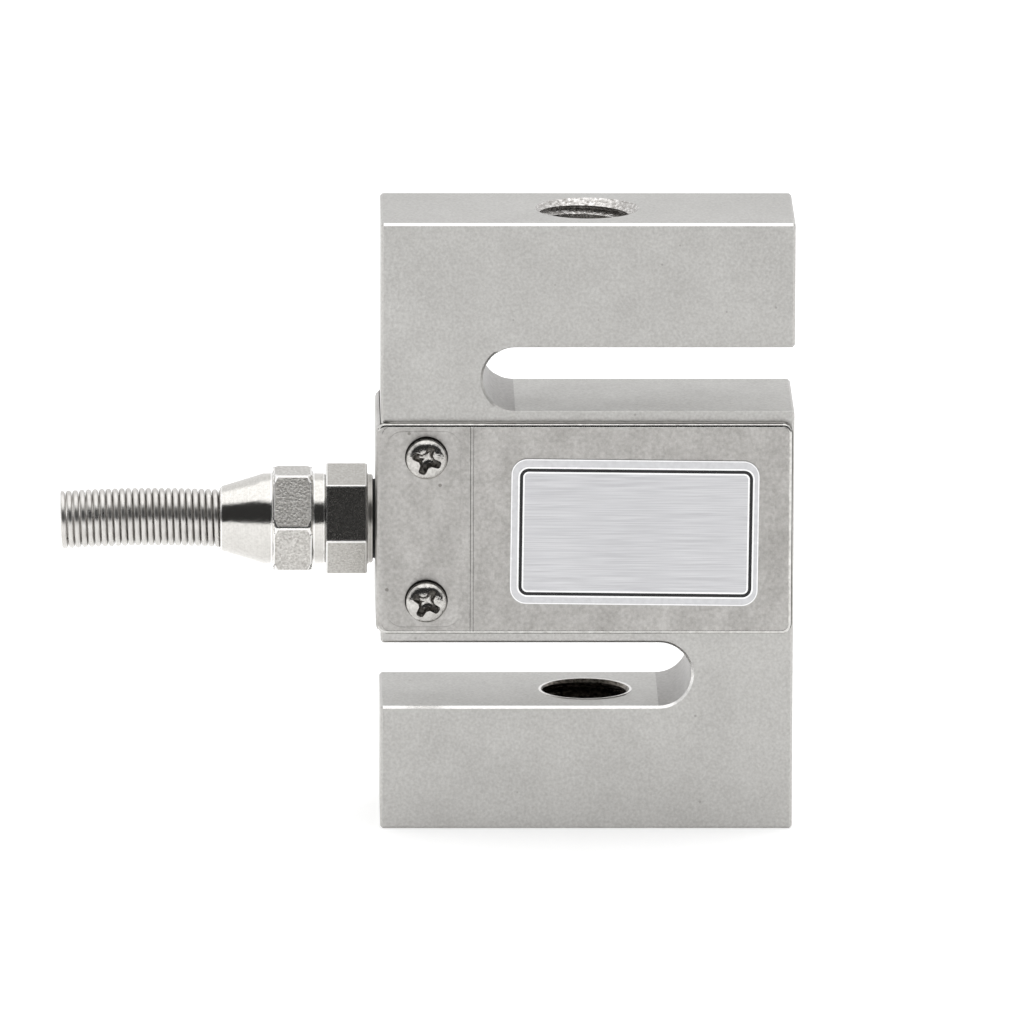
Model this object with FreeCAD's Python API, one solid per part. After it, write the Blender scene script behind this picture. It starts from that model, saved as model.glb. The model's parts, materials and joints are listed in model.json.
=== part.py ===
"""S type load cell: tension and compression force sensor with a spring-guarded cable gland.

The spring element is one steel block, slotted from both sides into an S. Its load axis is Z:
the origin lies on that axis, in the bottom face. The cover is screwed to the front (-Y) and
the rear, and the cable gland leaves the left side (-X). Sizes are in millimetres.
"""
import FreeCAD, Part
import math
import os

from FreeCAD import Vector

# Spring element: the S-shaped block
body_width = 50.8
body_depth = 19.05
body_height = 76.2
arm_height = 15.5
slot_height = 8.0
web_width = 12.5
edge_break = 0.3

# Load threads through both arms, on the load axis
thread_size = 12.0
thread_bore = 10.2
thread_mouth_margin = 0.4
thread_inner_break = 0.35

# Gauge pockets, one from each side, that leave a thin shear web between them
pocket_width = 22.0
pocket_wall = 5.1
pocket_corner = 3.0
web_thickness = 3.2

# Cover: one pressed sheet round the left side, on a gasket at the front and the rear
cover_sheet = 0.5
cover_margin = 1.35
cover_corner = 1.3
cover_bend = 0.4
cover_side_gap = 0.1
cover_end_inset = 0.2
crease_width = 0.3
crease_depth = 0.08
gasket_thickness = 0.6
gasket_inset = 0.15
gasket_window_margin = 1.5

# Cover screws: two at the front, two at the rear
screw_thread = 2.5
screw_grip = 5.0
screw_margin = 4.25
screw_edge_distance = 5.6
screw_head_diameter = 5.0
screw_head_height = 1.9
screw_head_crown = 0.7
screw_head_flat = 3.6
recess_span = 3.5
recess_slot = 0.9
recess_depth = 1.1
recess_taper = 0.35
recess_turns = {"front_upper": 20.0, "front_lower": 31.0, "rear_upper": 52.0, "rear_lower": 19.0}

# Name plate
plate_width = 30.5
plate_height = 18.25
plate_corner = 2.0
plate_thickness = 0.15
plate_shift = 5.8
plate_drop = 0.4
plate_lean = 0.6

# Cable gland, along -X from the left face
gland_drop = 1.0
gland_thread = 8.0
gland_thread_length = 8.0
gland_bore_margin = 0.3
washer_rim = 0.7
washer_thickness = 0.3
collar_diameter = 11.0
collar_length = 0.7
gland_hex_across_flats = 12.0
gland_hex_length = 5.15
gland_hex_turn = 18.0
clamp_thread = 9.0
clamp_thread_length = 6.0
seal_bore = 5.0
seal_wall = 1.2
seal_length = 4.6
seal_lip = 0.6

# Clamp ring between the seal and the spring
ring_bore_margin = 0.15
ring_flange_margin = 0.15
ring_flange_length = 0.3
ring_spigot_length = 0.7
ring_slots = 6
ring_slot_width = 0.6

# Compression nut
nut_skirt_diameter = 11.2
nut_skirt_length = 1.6
nut_hex_across_flats = 12.0
nut_hex_length = 4.9
nut_hex_turn = 32.0
nut_hex_chamfer = 0.5
nut_land_length = 1.15
nut_cone_length = 5.35
nut_nose_wall = 0.325
nut_chamber_margin = 0.4
nut_seat_length = 0.9

# Strain-relief spring, close wound, with one wide end coil held in the nut
spring_diameter = 7.15
spring_wire = 0.8
spring_pitch = 0.82
spring_free_coils = 24
spring_groove_depth = 0.28
spring_end_coil_margin = 0.15

# Wiring: the gland's drilled hole, the channel to the pockets and what is bonded in them
drill_point_angle = 118.0
channel_diameter = 5.0
channel_notch = 1.5
carrier_width = 9.0
carrier_margin = 2.5
carrier_thickness = 0.12
foil_thickness = 0.08
grid_strands = 6
grid_strand_width = 0.3
grid_strand_length = 3.2
grid_offset = 3.1
grid_angle = 45.0
tab_size = 1.1
board_width = 3.6
board_margin = 2.25
board_thickness = 0.8
board_gap = 0.6
pad_count = 6
pad_size = 1.2
pad_thickness = 0.1
resistor_length = 2.0
resistor_width = 1.2
resistor_thickness = 0.5
resistor_spacing = 4.0
lead_section = 0.25
lead_offset = 0.3
lead_height = 0.9

# Clearances
thread_clearance = 0.05
hole_clearance = 0.2
seal_clearance = 0.05
end_clearance = 0.3

# How far two places may differ and still count as the same, and the code for mitred bends
flatness = 1e-6
mitred = 1

# Places that follow from the sizes above
mid_height = body_height / 2
middle_height = body_height - 2 * (arm_height + slot_height)
pocket_height = middle_height - 2 * pocket_wall
carrier_height = pocket_height - 2 * carrier_margin
board_height = pocket_height - 2 * board_margin
cover_height = middle_height - 2 * cover_margin
screw_spacing = cover_height - 2 * screw_margin
gland_height = mid_height - gland_drop
left_face = -body_width / 2
front_face = -body_depth / 2
slot_radius = slot_height / 2
front_cover_inner = front_face - gasket_thickness
front_cover_outer = front_cover_inner - cover_sheet
cover_left_outer = left_face - cover_side_gap - cover_sheet
cover_right = body_width / 2 - cover_end_inset
cover_bottom = mid_height - cover_height / 2
web_front = -web_thickness / 2
board_left = -carrier_width / 2 - board_gap - board_width
screw_x = left_face + screw_edge_distance
crease_x = screw_x + screw_edge_distance

# Diameters that follow, from the cable's hole outwards
gland_bore = seal_bore + 2 * gland_bore_margin
seal_diameter = seal_bore + 2 * seal_wall
ring_bore = seal_bore + 2 * ring_bore_margin
ring_flange_diameter = clamp_thread - 2 * ring_flange_margin
chamber_diameter = clamp_thread + 2 * thread_clearance
spring_end_coil_diameter = chamber_diameter - 2 * spring_end_coil_margin
nut_nose_bore = spring_diameter + 2 * seal_clearance
nut_nose_diameter = nut_nose_bore + 2 * nut_nose_wall
gland_hole = gland_thread + 2 * hole_clearance

# Stations along the gland, as distances outwards from the body's left face
washer_start = cover_side_gap + cover_sheet
collar_start = washer_start + washer_thickness
hex_start = collar_start + collar_length
nut_start = hex_start + gland_hex_length
clamp_thread_end = nut_start + clamp_thread_length
seal_end = clamp_thread_end - ring_spigot_length + seal_clearance
seal_start = seal_end - seal_length
ring_flange_start = clamp_thread_end + seal_clearance
ring_end = ring_flange_start + ring_flange_length
nut_hex_start = nut_start + nut_skirt_length
nut_land_start = nut_hex_start + nut_hex_length
nut_cone_start = nut_land_start + nut_land_length
nut_end = nut_cone_start + nut_cone_length
spring_start = ring_end + seal_clearance
spring_end = nut_end + spring_free_coils * spring_pitch
end_coil_end = spring_start + spring_pitch
chamber_end = end_coil_end + nut_chamber_margin


def box(x_range, y_range, z_range):
    """A box between the given limits."""
    size = [limits[1] - limits[0] for limits in (x_range, y_range, z_range)]
    return Part.makeBox(*size, Vector(x_range[0], y_range[0], z_range[0]))


def rounded_prism(x_range, z_range, y_range, radius):
    """A prism along Y whose front outline is a rectangle with round corners."""
    prism = box(x_range, y_range, z_range)
    corners = [edge for edge in prism.Edges if is_along(edge, Vector(0, 1, 0))]
    return prism.makeFillet(radius, corners)


def is_along(edge, direction):
    """Whether an edge is straight and runs along a direction."""
    if not isinstance(edge.Curve, Part.Line):
        return False
    return abs(edge.Curve.Direction.dot(direction)) > 0.999


def mirrored_to_rear(shape):
    """The same shape on the other side of the block."""
    return shape.mirror(Vector(0, 0, 0), Vector(0, 1, 0))


def turned(points):
    """A solid turned about the gland's axis, from (distance outwards, radius) points."""
    outline = [Vector(left_face - s, 0, gland_height + r) for s, r in points]
    face = Part.Face(Part.makePolygon(outline + outline[:1]))
    return face.revolve(Vector(0, 0, gland_height), Vector(1, 0, 0), 360)


def tube(start, end, outer_diameter, inner_diameter):
    """A plain tube on the gland's axis."""
    outer, inner = outer_diameter / 2, inner_diameter / 2
    return turned([(start, inner), (start, outer), (end, outer), (end, inner)])


def rod(start, end, diameter):
    """A plain round bar on the gland's axis."""
    return turned([(start, 0), (start, diameter / 2), (end, diameter / 2), (end, 0)])


def hexagon(start, end, across_flats, angle):
    """A hexagonal bar on the gland's axis, turned by an angle in degrees."""
    reach = across_flats / 2 / math.cos(math.pi / 6)
    turns = [math.radians(angle + 60 * corner) for corner in range(6)]
    points = [
        Vector(left_face - start, reach * math.sin(turn), gland_height + reach * math.cos(turn))
        for turn in turns
    ]
    face = Part.Face(Part.makePolygon(points + points[:1]))
    return face.extrude(Vector(start - end, 0, 0))


def screw_places():
    """Name, height and side of each cover screw; the side is -1 in front and 1 at the rear."""
    for side_name, side in (("front", -1), ("rear", 1)):
        for level_name, level in (("upper", 1), ("lower", -1)):
            yield f"{side_name}_{level_name}", mid_height + level * screw_spacing / 2, side


def blind_hole(diameter, depth, mouth, direction):
    """A drilled hole with its conical point."""
    point = diameter / 2 / math.tan(math.radians(drill_point_angle / 2))
    hole = Part.makeCylinder(diameter / 2, depth, mouth, direction)
    tip = Part.makeCone(diameter / 2, 0, point, mouth + direction * depth, direction)
    return hole.fuse(tip)


def slot(bottom, closed_end, open_side):
    """A milled slot with a full-radius closed end; open_side is 1 to the right, -1 to the left."""
    centre = closed_end + open_side * slot_radius
    run = sorted((centre, open_side * body_width))
    depth = (front_face - edge_break, -front_face + edge_break)
    channel = box(run, depth, (bottom, bottom + slot_height))
    foot = Vector(centre, depth[0], bottom + slot_radius)
    end = Part.makeCylinder(slot_radius, depth[1] - depth[0], foot, Vector(0, 1, 0))
    return channel.fuse(end)


def s_block():
    """The slotted block with every outer edge broken."""
    block = box((left_face, -left_face), (front_face, -front_face), (0, body_height))
    upper_end = left_face + web_width
    upper = slot(body_height - arm_height - slot_height, upper_end, 1)
    lower = slot(arm_height, -upper_end, -1)
    block = block.cut(upper).cut(lower)
    tangent_line = body_width / 2 - web_width - slot_radius
    smooth = [
        edge for edge in block.Edges
        if is_along(edge, Vector(0, 1, 0)) and abs(abs(edge.CenterOfMass.x) - tangent_line) < flatness
    ]
    sharp = [edge for edge in block.Edges if not any(edge.isSame(other) for other in smooth)]
    return block.makeChamfer(edge_break, sharp)


def load_thread(face_height, inward):
    """A tapped hole through one arm, countersunk at both ends; inward is 1 up, -1 down."""
    mouth = thread_size / 2 + thread_mouth_margin
    sink = mouth - thread_bore / 2
    foot = Vector(0, 0, face_height)
    axis = Vector(0, 0, inward)
    bore = Part.makeCylinder(thread_bore / 2, arm_height + slot_radius, foot, axis)
    inner_mouth = Part.makeCone(thread_bore / 2 + thread_inner_break, thread_bore / 2,
                                thread_inner_break, foot + axis * arm_height, -axis)
    return bore.fuse([Part.makeCone(mouth, thread_bore / 2, sink, foot, axis), inner_mouth])


def gauge_pocket():
    """The front gauge pocket, with stress-relieving round corners, down to the web."""
    width = (-pocket_width / 2, pocket_width / 2)
    height = (mid_height - pocket_height / 2, mid_height + pocket_height / 2)
    return rounded_prism(width, height, (front_face - edge_break, web_front), pocket_corner)


def wiring_hole():
    """The gland's threaded hole and the channel from it into both pockets."""
    mouth = Vector(left_face, 0, gland_height)
    inwards = Vector(1, 0, 0)
    reach = gland_thread_length + end_clearance
    hole = blind_hole(gland_thread + 2 * thread_clearance, reach, mouth, inwards)
    run = body_width / 2 - pocket_width / 2 + channel_notch
    return hole.fuse(Part.makeCylinder(channel_diameter / 2, run, mouth, inwards))


def elastic_body():
    """The spring element with its tapped holes, gauge pockets and wiring hole."""
    body = s_block()
    cuts = [load_thread(body_height, -1), load_thread(0, 1)]
    cuts += [gauge_pocket(), mirrored_to_rear(gauge_pocket()), wiring_hole()]
    for _, height, side in screw_places():
        mouth = Vector(screw_x, -side * front_face, height)
        hole = screw_thread + 2 * thread_clearance
        cuts.append(blind_hole(hole, screw_grip + end_clearance, mouth, Vector(0, -side, 0)))
    for cut in cuts:
        body = body.cut(cut)
    return body


def screw_hole_cutter(clearance):
    """Clearance holes for the cover screws through everything outside the block."""
    radius = screw_thread / 2 + clearance
    reach = gasket_thickness + cover_sheet + edge_break
    holes = [
        Part.makeCylinder(radius, reach, Vector(screw_x, -side * front_face, height), Vector(0, side, 0))
        for _, height, side in screw_places()
    ]
    return Part.makeCompound(holes)


def cover():
    """The pressed cover: front plate, left side and rear plate from one sheet."""
    heights = (cover_bottom, cover_bottom + cover_height)
    outer = box((cover_left_outer, cover_right), (front_cover_outer, -front_cover_outer), heights)
    inner = box((cover_left_outer + cover_sheet, cover_right + cover_sheet),
                (front_cover_inner, -front_cover_inner), heights)
    outer = round_bends(outer, cover_bend + cover_sheet)
    inner = round_bends(inner, cover_bend)
    sheet = outer.cut(inner)
    outline = rounded_prism((cover_left_outer, cover_right), heights,
                            (front_cover_outer, -front_cover_outer), cover_corner)
    sheet = sheet.common(outline)
    sheet = sheet.cut(rod(0, collar_start, gland_hole)).cut(screw_hole_cutter(hole_clearance))
    return sheet.cut(crease())


def crease():
    """The groove pressed up the cover's front between the screws and the name plate."""
    corners = [
        Vector(crease_x - crease_width / 2, front_cover_outer, cover_bottom),
        Vector(crease_x + crease_width / 2, front_cover_outer, cover_bottom),
        Vector(crease_x, front_cover_outer + crease_depth, cover_bottom),
    ]
    face = Part.Face(Part.makePolygon(corners + corners[:1]))
    return face.extrude(Vector(0, 0, cover_height))


def round_bends(shape, radius):
    """Round the two upright edges at the left of a box."""
    left = min(vertex.X for vertex in shape.Vertexes)
    bends = [
        edge for edge in shape.Edges
        if is_along(edge, Vector(0, 0, 1)) and abs(edge.CenterOfMass.x - left) < edge_break
    ]
    return shape.makeFillet(radius, bends)


def front_gasket():
    """A flat gasket under the front plate, from the bend on, open over the pocket and the screws."""
    bottom = cover_bottom + gasket_inset
    top = bottom + cover_height - 2 * gasket_inset
    span = (left_face - cover_side_gap + cover_bend, cover_right - gasket_inset)
    sheet = rounded_prism(span, (bottom, top), (front_cover_inner, front_face), cover_corner)
    half = pocket_width / 2 + gasket_window_margin
    rise = pocket_height / 2 + gasket_window_margin
    window = rounded_prism((-half, half), (mid_height - rise, mid_height + rise),
                           (front_cover_outer, 0), pocket_corner)
    return sheet.cut(window).cut(screw_hole_cutter(hole_clearance))


def pan_head():
    """A pan head on the -Y side of the origin, with its under face at y = 0."""
    rim = screw_head_diameter / 2
    shoulder = -(screw_head_height - screw_head_crown)
    outline = [
        Vector(0, 0, 0), Vector(rim, 0, 0), Vector(rim, shoulder, 0),
        Vector(screw_head_flat / 2, -screw_head_height, 0), Vector(0, -screw_head_height, 0),
    ]
    face = Part.Face(Part.makePolygon(outline + outline[:1]))
    return face.revolve(Vector(0, 0, 0), Vector(0, 1, 0), 360)


def cross_recess(turn):
    """A tapered cross recess from the head's top down, turned by an angle in degrees."""
    span, half_slot = recess_span / 2, recess_slot / 2
    foot = span * recess_taper
    top = -screw_head_height
    wings = []
    for wing in (0, 90):
        arm = Part.makeWedge(-span, top, -half_slot, -half_slot, -foot,
                             span, top + recess_depth, half_slot, half_slot, foot)
        arm.rotate(Vector(0, 0, 0), Vector(0, 1, 0), wing + turn)
        wings.append(arm)
    return wings[0].fuse(wings[1])


def cover_screw(name, height, side):
    """A pan head screw with a cross recess, seated on the cover."""
    reach = cover_sheet + gasket_thickness + screw_grip
    shank = Part.makeCylinder(screw_thread / 2, reach, Vector(0, 0, 0), Vector(0, 1, 0))
    screw = pan_head().fuse(shank).cut(cross_recess(recess_turns[name]))
    screw.translate(Vector(screw_x, front_cover_outer, height))
    return screw if side < 0 else mirrored_to_rear(screw)


def name_plate():
    """The blank foil plate on the front of the cover, stuck on leaning to the right."""
    width = (plate_shift - plate_width / 2, plate_shift + plate_width / 2)
    middle = mid_height - plate_drop
    height = (middle - plate_height / 2, middle + plate_height / 2)
    depth = (front_cover_outer - plate_thickness, front_cover_outer)
    plate = rounded_prism(width, height, depth, plate_corner)
    plate.rotate(Vector(plate_shift, 0, middle), Vector(0, 1, 0), plate_lean)
    return plate


def gland_body():
    """The gland's turned body: thread into the block, collar, hexagon and clamp thread."""
    body = rod(-gland_thread_length, collar_start, gland_thread)
    body = body.fuse(rod(collar_start, hex_start, collar_diameter))
    body = body.fuse(hexagon(hex_start, nut_start, gland_hex_across_flats, gland_hex_turn))
    body = body.fuse(rod(nut_start, clamp_thread_end, clamp_thread))
    body = body.cut(rod(-gland_thread_length, clamp_thread_end, gland_bore))
    return body.cut(rod(seal_start, clamp_thread_end, seal_diameter + 2 * seal_clearance))


def sealing_washer():
    """The flat sealing washer between the gland's collar and the cover."""
    return tube(washer_start, collar_start, gland_hole + 2 * washer_rim, gland_hole)


def cable_seal():
    """The rubber bush that grips the cable, with a lead-in at its outer end."""
    outer, inner = seal_diameter / 2, seal_bore / 2
    return turned([
        (seal_start, inner), (seal_start, outer), (seal_end, outer),
        (seal_end, inner + seal_lip), (seal_end - seal_lip, inner),
    ])


def clamp_ring():
    """The slotted ring that the spring's end coil presses onto the seal."""
    inner = ring_bore / 2
    spigot = seal_diameter / 2
    flange = ring_flange_diameter / 2
    ring = turned([
        (seal_end, inner), (seal_end, spigot), (ring_flange_start, spigot),
        (ring_flange_start, flange), (ring_end, flange), (ring_end, inner),
    ])
    for step in range(ring_slots):
        cutter = box((left_face - ring_flange_start, left_face - seal_end),
                     (-ring_slot_width / 2, ring_slot_width / 2), (gland_height, gland_height + flange))
        cutter.rotate(Vector(0, 0, gland_height), Vector(1, 0, 0), step * 360 / ring_slots)
        ring = ring.cut(cutter)
    return ring


def nut_outer():
    """The compression nut's outside: skirt, chamfered hexagon, land and cone."""
    corner = nut_hex_across_flats / 2 / math.cos(math.pi / 6)
    edge = corner - nut_hex_chamfer
    hexagonal = hexagon(nut_hex_start, nut_land_start, nut_hex_across_flats, nut_hex_turn)
    facing = turned([
        (nut_hex_start, 0), (nut_hex_start, edge), (nut_hex_start + nut_hex_chamfer, corner),
        (nut_land_start - nut_hex_chamfer, corner), (nut_land_start, edge), (nut_land_start, 0),
    ])
    skirt = nut_skirt_diameter / 2
    round_part = turned([
        (nut_start, 0), (nut_start, skirt), (nut_cone_start, skirt),
        (nut_end, nut_nose_diameter / 2), (nut_end, 0),
    ])
    return round_part.fuse(hexagonal.common(facing))


def compression_nut():
    """The compression nut, bored for the clamp thread, the end coil and the spring."""
    chamber = chamber_diameter / 2
    nose = nut_nose_bore / 2
    bore = turned([
        (nut_start, 0), (nut_start, chamber), (chamber_end, chamber),
        (chamber_end + nut_seat_length, nose), (nut_end, nose), (nut_end, 0),
    ])
    return nut_outer().cut(bore)


def strain_relief_spring():
    """The close-wound spring, its free coils drawn as closed rings, with one wide coil in the nut."""
    inner = spring_diameter / 2 - spring_wire
    outer = spring_diameter / 2
    root = outer - spring_groove_depth
    wide = spring_end_coil_diameter / 2
    first = spring_end - spring_free_coils * spring_pitch
    points = [(spring_start, inner), (spring_start, wide), (end_coil_end, wide), (end_coil_end, root)]
    for step in range(spring_free_coils):
        coil = first + step * spring_pitch
        points += [(coil, root), (coil + spring_pitch / 2, outer)]
    points += [(spring_end, root), (spring_end, inner)]
    return turned(points)


def on_front_web(shape):
    """Lay a shape drawn in the XZ plane, with its back at y = 0, on the front of the web."""
    shape.translate(Vector(0, web_front, mid_height))
    return shape


def gauge_carrier():
    """The film that carries both measuring grids of the front gauge."""
    half, rise = carrier_width / 2, carrier_height / 2
    return on_front_web(box((-half, half), (-carrier_thickness, 0), (-rise, rise)))


def measuring_grid(side):
    """One serpentine foil grid with its two solder tabs, at 45 degrees to the load axis."""
    pitch = 2 * grid_strand_width
    half = grid_strand_length / 2
    width = grid_strands * pitch - grid_strand_width
    depth = (-foil_thickness, 0)
    foil = []
    for strand in range(grid_strands):
        low = -width / 2 + strand * pitch
        foil.append(box((-half, half), depth, (low, low + grid_strand_width)))
        if strand < grid_strands - 1:
            end = half if strand % 2 == 0 else -half - grid_strand_width
            foil.append(box((end, end + grid_strand_width), depth, (low, low + pitch + grid_strand_width)))
    for low in (-width / 2, width / 2 - tab_size):
        foil.append(box((-half - tab_size, -half), depth, (low, low + tab_size)))
    grid = foil[0].multiFuse(foil[1:]).removeSplitter()
    grid.rotate(Vector(0, 0, 0), Vector(0, 1, 0), side * grid_angle)
    grid.translate(Vector(tab_size / 2, -carrier_thickness, side * grid_offset))
    return on_front_web(grid)


def gauge_foil():
    """Both measuring grids of the front gauge."""
    return Part.makeCompound([measuring_grid(side) for side in (-1, 1)])


def terminal_board():
    """The small circuit board beside the front gauge."""
    rise = board_height / 2
    run = (board_left, board_left + board_width)
    return on_front_web(box(run, (-board_thickness, 0), (-rise, rise)))


def terminal_pads():
    """A column of solder pads on the terminal board."""
    half = pad_size / 2
    depth = (-board_thickness - pad_thickness, -board_thickness)
    pads = []
    for step in range(pad_count):
        x, z = pad_place(step)
        pads.append(on_front_web(box((x - half, x + half), depth, (z - half, z + half))))
    return Part.makeCompound(pads)


def compensation_resistors():
    """Two chip resistors bonded to the web on the far side of the gauge."""
    left = carrier_width / 2 + board_gap
    chips = []
    for side in (-1, 1):
        middle = side * resistor_spacing / 2
        rise = (middle - resistor_width / 2, middle + resistor_width / 2)
        chip = box((left, left + resistor_length), (-resistor_thickness, 0), rise)
        chips.append(on_front_web(chip))
    return Part.makeCompound(chips)


def lead(points):
    """A fine wire of square section through the given points, the first stretch along Y."""
    half = lead_section / 2
    signs = ((-1, -1), (1, -1), (1, 1), (-1, 1))
    corners = [points[0] + Vector(across * half, 0, up * half) for across, up in signs]
    section = Part.makePolygon(corners + corners[:1])
    return Part.makePolygon(points).makePipeShell([section], True, False, mitred)


def tab_places():
    """The centres of the front gauge's four solder tabs, from the lowest up."""
    height = (2 * grid_strands - 1) * grid_strand_width
    places = []
    for side in (-1, 1):
        turn = math.radians(side * grid_angle)
        for level in (-1, 1):
            x = -grid_strand_length / 2 - tab_size / 2
            z = level * (height - tab_size) / 2
            places.append((x * math.cos(turn) + z * math.sin(turn) + tab_size / 2,
                           z * math.cos(turn) - x * math.sin(turn) + side * grid_offset))
    return sorted(places, key=lambda place: place[1])


def pad_place(step):
    """The centre of one solder pad on the terminal board."""
    return board_left + board_width / 2, -board_height / 2 + (step + 0.5) * board_height / pad_count


def front_leads():
    """Four fine wires from the front gauge's tabs up and over to the middle pads."""
    pad_top = -board_thickness - pad_thickness
    over = pad_top - lead_height
    leads = []
    for step, (x, z) in enumerate(tab_places()):
        pad_x, pad_z = pad_place(step + 1)
        pad_x += lead_offset
        foot = Vector(x, -carrier_thickness - foil_thickness, z)
        wire = lead([foot, Vector(x, over, z), Vector(pad_x, over, pad_z), Vector(pad_x, pad_top, pad_z)])
        leads.append(on_front_web(wire))
    return Part.makeCompound(leads)


def rear_leads():
    """Four fine wires from the rear gauge's tabs through the web's notch to the middle pads."""
    pad_top = -board_thickness - pad_thickness
    over = pad_top - lead_height
    behind = web_thickness + carrier_thickness + foil_thickness
    notch = -pocket_width / 2 + channel_notch / 2
    leads = []
    for step, (x, z) in enumerate(tab_places()):
        pad_x, pad_z = pad_place(step + 1)
        pad_x -= lead_offset
        pass_z = gland_height - mid_height + (step - 1.5) * 2 * lead_offset
        wire = lead([
            Vector(x, behind, z), Vector(x, behind + lead_height, z),
            Vector(notch, behind + lead_height, pass_z), Vector(notch, over, pass_z),
            Vector(pad_x, over, pad_z), Vector(pad_x, pad_top, pad_z),
        ])
        leads.append(on_front_web(wire))
    return Part.makeCompound(leads)


def parts():
    """Every piece of the load cell by name."""
    pieces = {
        "elastic_body": elastic_body(),
        "cover": cover(),
        "gasket_front": front_gasket(),
        "gasket_rear": mirrored_to_rear(front_gasket()),
        "name_plate": name_plate(),
        "gland_body": gland_body(),
        "gland_washer": sealing_washer(),
        "cable_seal": cable_seal(),
        "clamp_ring": clamp_ring(),
        "compression_nut": compression_nut(),
        "strain_relief_spring": strain_relief_spring(),
        "gauge_carrier_front": gauge_carrier(),
        "gauge_carrier_rear": mirrored_to_rear(gauge_carrier()),
        "gauge_foil_front": gauge_foil(),
        "gauge_foil_rear": mirrored_to_rear(gauge_foil()),
        "terminal_board": terminal_board(),
        "terminal_pads": terminal_pads(),
        "compensation_resistors": compensation_resistors(),
        "front_leads": front_leads(),
        "rear_leads": rear_leads(),
    }
    for name, height, side in screw_places():
        pieces[f"cover_screw_{name}"] = cover_screw(name, height, side)
    return pieces


os.makedirs("parts", exist_ok=True)
for node, shape in parts().items():
    shape.exportStep(f"parts/{node}.step")
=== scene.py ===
"""Looks of the S type load cell: its finishes, cut threads, wound spring, screws and studio.

Lengths are millimetres unless their name ends in _m; meshes are built in metres, in the frame
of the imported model: origin on the load axis in the bottom face, -Y out of the front, -X out of
the side with the cable gland, +Z up.
"""
import json
import logging
import math
from dataclasses import dataclass
from enum import Enum

import bmesh
import bpy
from mathutils import Matrix, Vector


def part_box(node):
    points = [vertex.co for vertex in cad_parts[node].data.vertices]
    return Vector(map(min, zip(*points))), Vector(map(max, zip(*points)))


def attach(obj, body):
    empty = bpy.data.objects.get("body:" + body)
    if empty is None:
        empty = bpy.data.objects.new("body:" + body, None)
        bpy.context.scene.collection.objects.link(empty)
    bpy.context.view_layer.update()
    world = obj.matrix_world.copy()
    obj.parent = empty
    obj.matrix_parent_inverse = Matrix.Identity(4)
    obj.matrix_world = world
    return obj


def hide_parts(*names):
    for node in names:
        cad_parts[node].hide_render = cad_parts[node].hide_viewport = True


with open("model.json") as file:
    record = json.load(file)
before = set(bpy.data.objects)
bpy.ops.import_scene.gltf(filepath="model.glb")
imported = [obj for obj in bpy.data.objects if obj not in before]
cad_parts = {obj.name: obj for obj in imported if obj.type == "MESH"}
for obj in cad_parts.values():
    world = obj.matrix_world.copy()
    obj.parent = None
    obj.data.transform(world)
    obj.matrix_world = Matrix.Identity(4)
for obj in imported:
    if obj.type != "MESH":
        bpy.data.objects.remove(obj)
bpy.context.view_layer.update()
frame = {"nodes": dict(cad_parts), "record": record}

MM = 0.001
BODY = "root"
WELD_M = 2e-7  # vertices nearer than this are one vertex
SLIVER_M = 1e-6  # what cutting leaves narrower than this is cleared away
FLAT_DEG = 0.5  # faces that meet at less than this are one flat face
STRAIGHT_DEG = 2.0  # edges that meet at less than this are one straight edge
WIDE_FACE_WEIGHT = 80  # how strongly wide faces rule the shading
NOISE_ROUGHNESS = 0.6  # how much of a noise's finer octaves shows
NEAR = 0.01  # two places nearer than this are the same place
SLACK = 0.1  # how far off a face's middle may lie and still count
PROUD = 0.02  # how far a cutter stands out of the surface that it cuts

# Short names for the long types in the hints
Mesh = bmesh.types.BMesh
Edge = bmesh.types.BMEdge
Face = bmesh.types.BMFace
Piece = bpy.types.Object
Tree = bpy.types.NodeTree
Socket = bpy.types.NodeSocket
Points = list[tuple[float, float]]

log = logging.getLogger("load_cell")


# ---------------------------------------------------------------- colours and nodes

def linear_from_hex(code: str) -> tuple[float, float, float, float]:
    """Turn an sRGB hex colour into linear red, green, blue and a full alpha.

    Args:
        code: Six hex digits, such as "BAB8B5".

    Returns:
        The linear colour, with alpha 1.
    """
    channels = [int(code[start:start + 2], 16) / 255 for start in (0, 2, 4)]
    linear = [c / 12.92 if c <= 0.04045 else ((c + 0.055) / 1.055) ** 2.4 for c in channels]
    return (*linear, 1.0)


def empty_tree(owner: bpy.types.Material | bpy.types.World) -> Tree:
    """Switch on the nodes of a material or world and clear them away.

    Args:
        owner: The material or world.

    Returns:
        Its empty node tree.
    """
    owner.use_nodes = True
    owner.node_tree.nodes.clear()
    return owner.node_tree


def add_node(tree: Tree, kind: str, settings: dict, links: dict) -> bpy.types.Node:
    """Add a node to a tree with its settings and its incoming links.

    Args:
        tree: The node tree of a material or world.
        kind: The node's type name, such as "ShaderNodeTexNoise".
        settings: Attribute names or input names or numbers, with their values.
        links: Input names or numbers, with the output sockets that feed them.

    Returns:
        The new node.
    """
    node = tree.nodes.new(kind)
    for key, value in settings.items():
        if isinstance(key, str) and hasattr(node, key):
            setattr(node, key, value)
        else:
            node.inputs[key].default_value = value
    for key, socket in links.items():
        tree.links.new(socket, node.inputs[key])
    return node


# ---------------------------------------------------------------- finishes

class Pattern(Enum):
    """How a grain's pattern is made, with the texture's values that become 0 and 1."""

    CLOUD = (0.3, 0.7)
    PITS = (0.06, 0.03)
    LINES = (0.4, 0.6)


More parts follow.
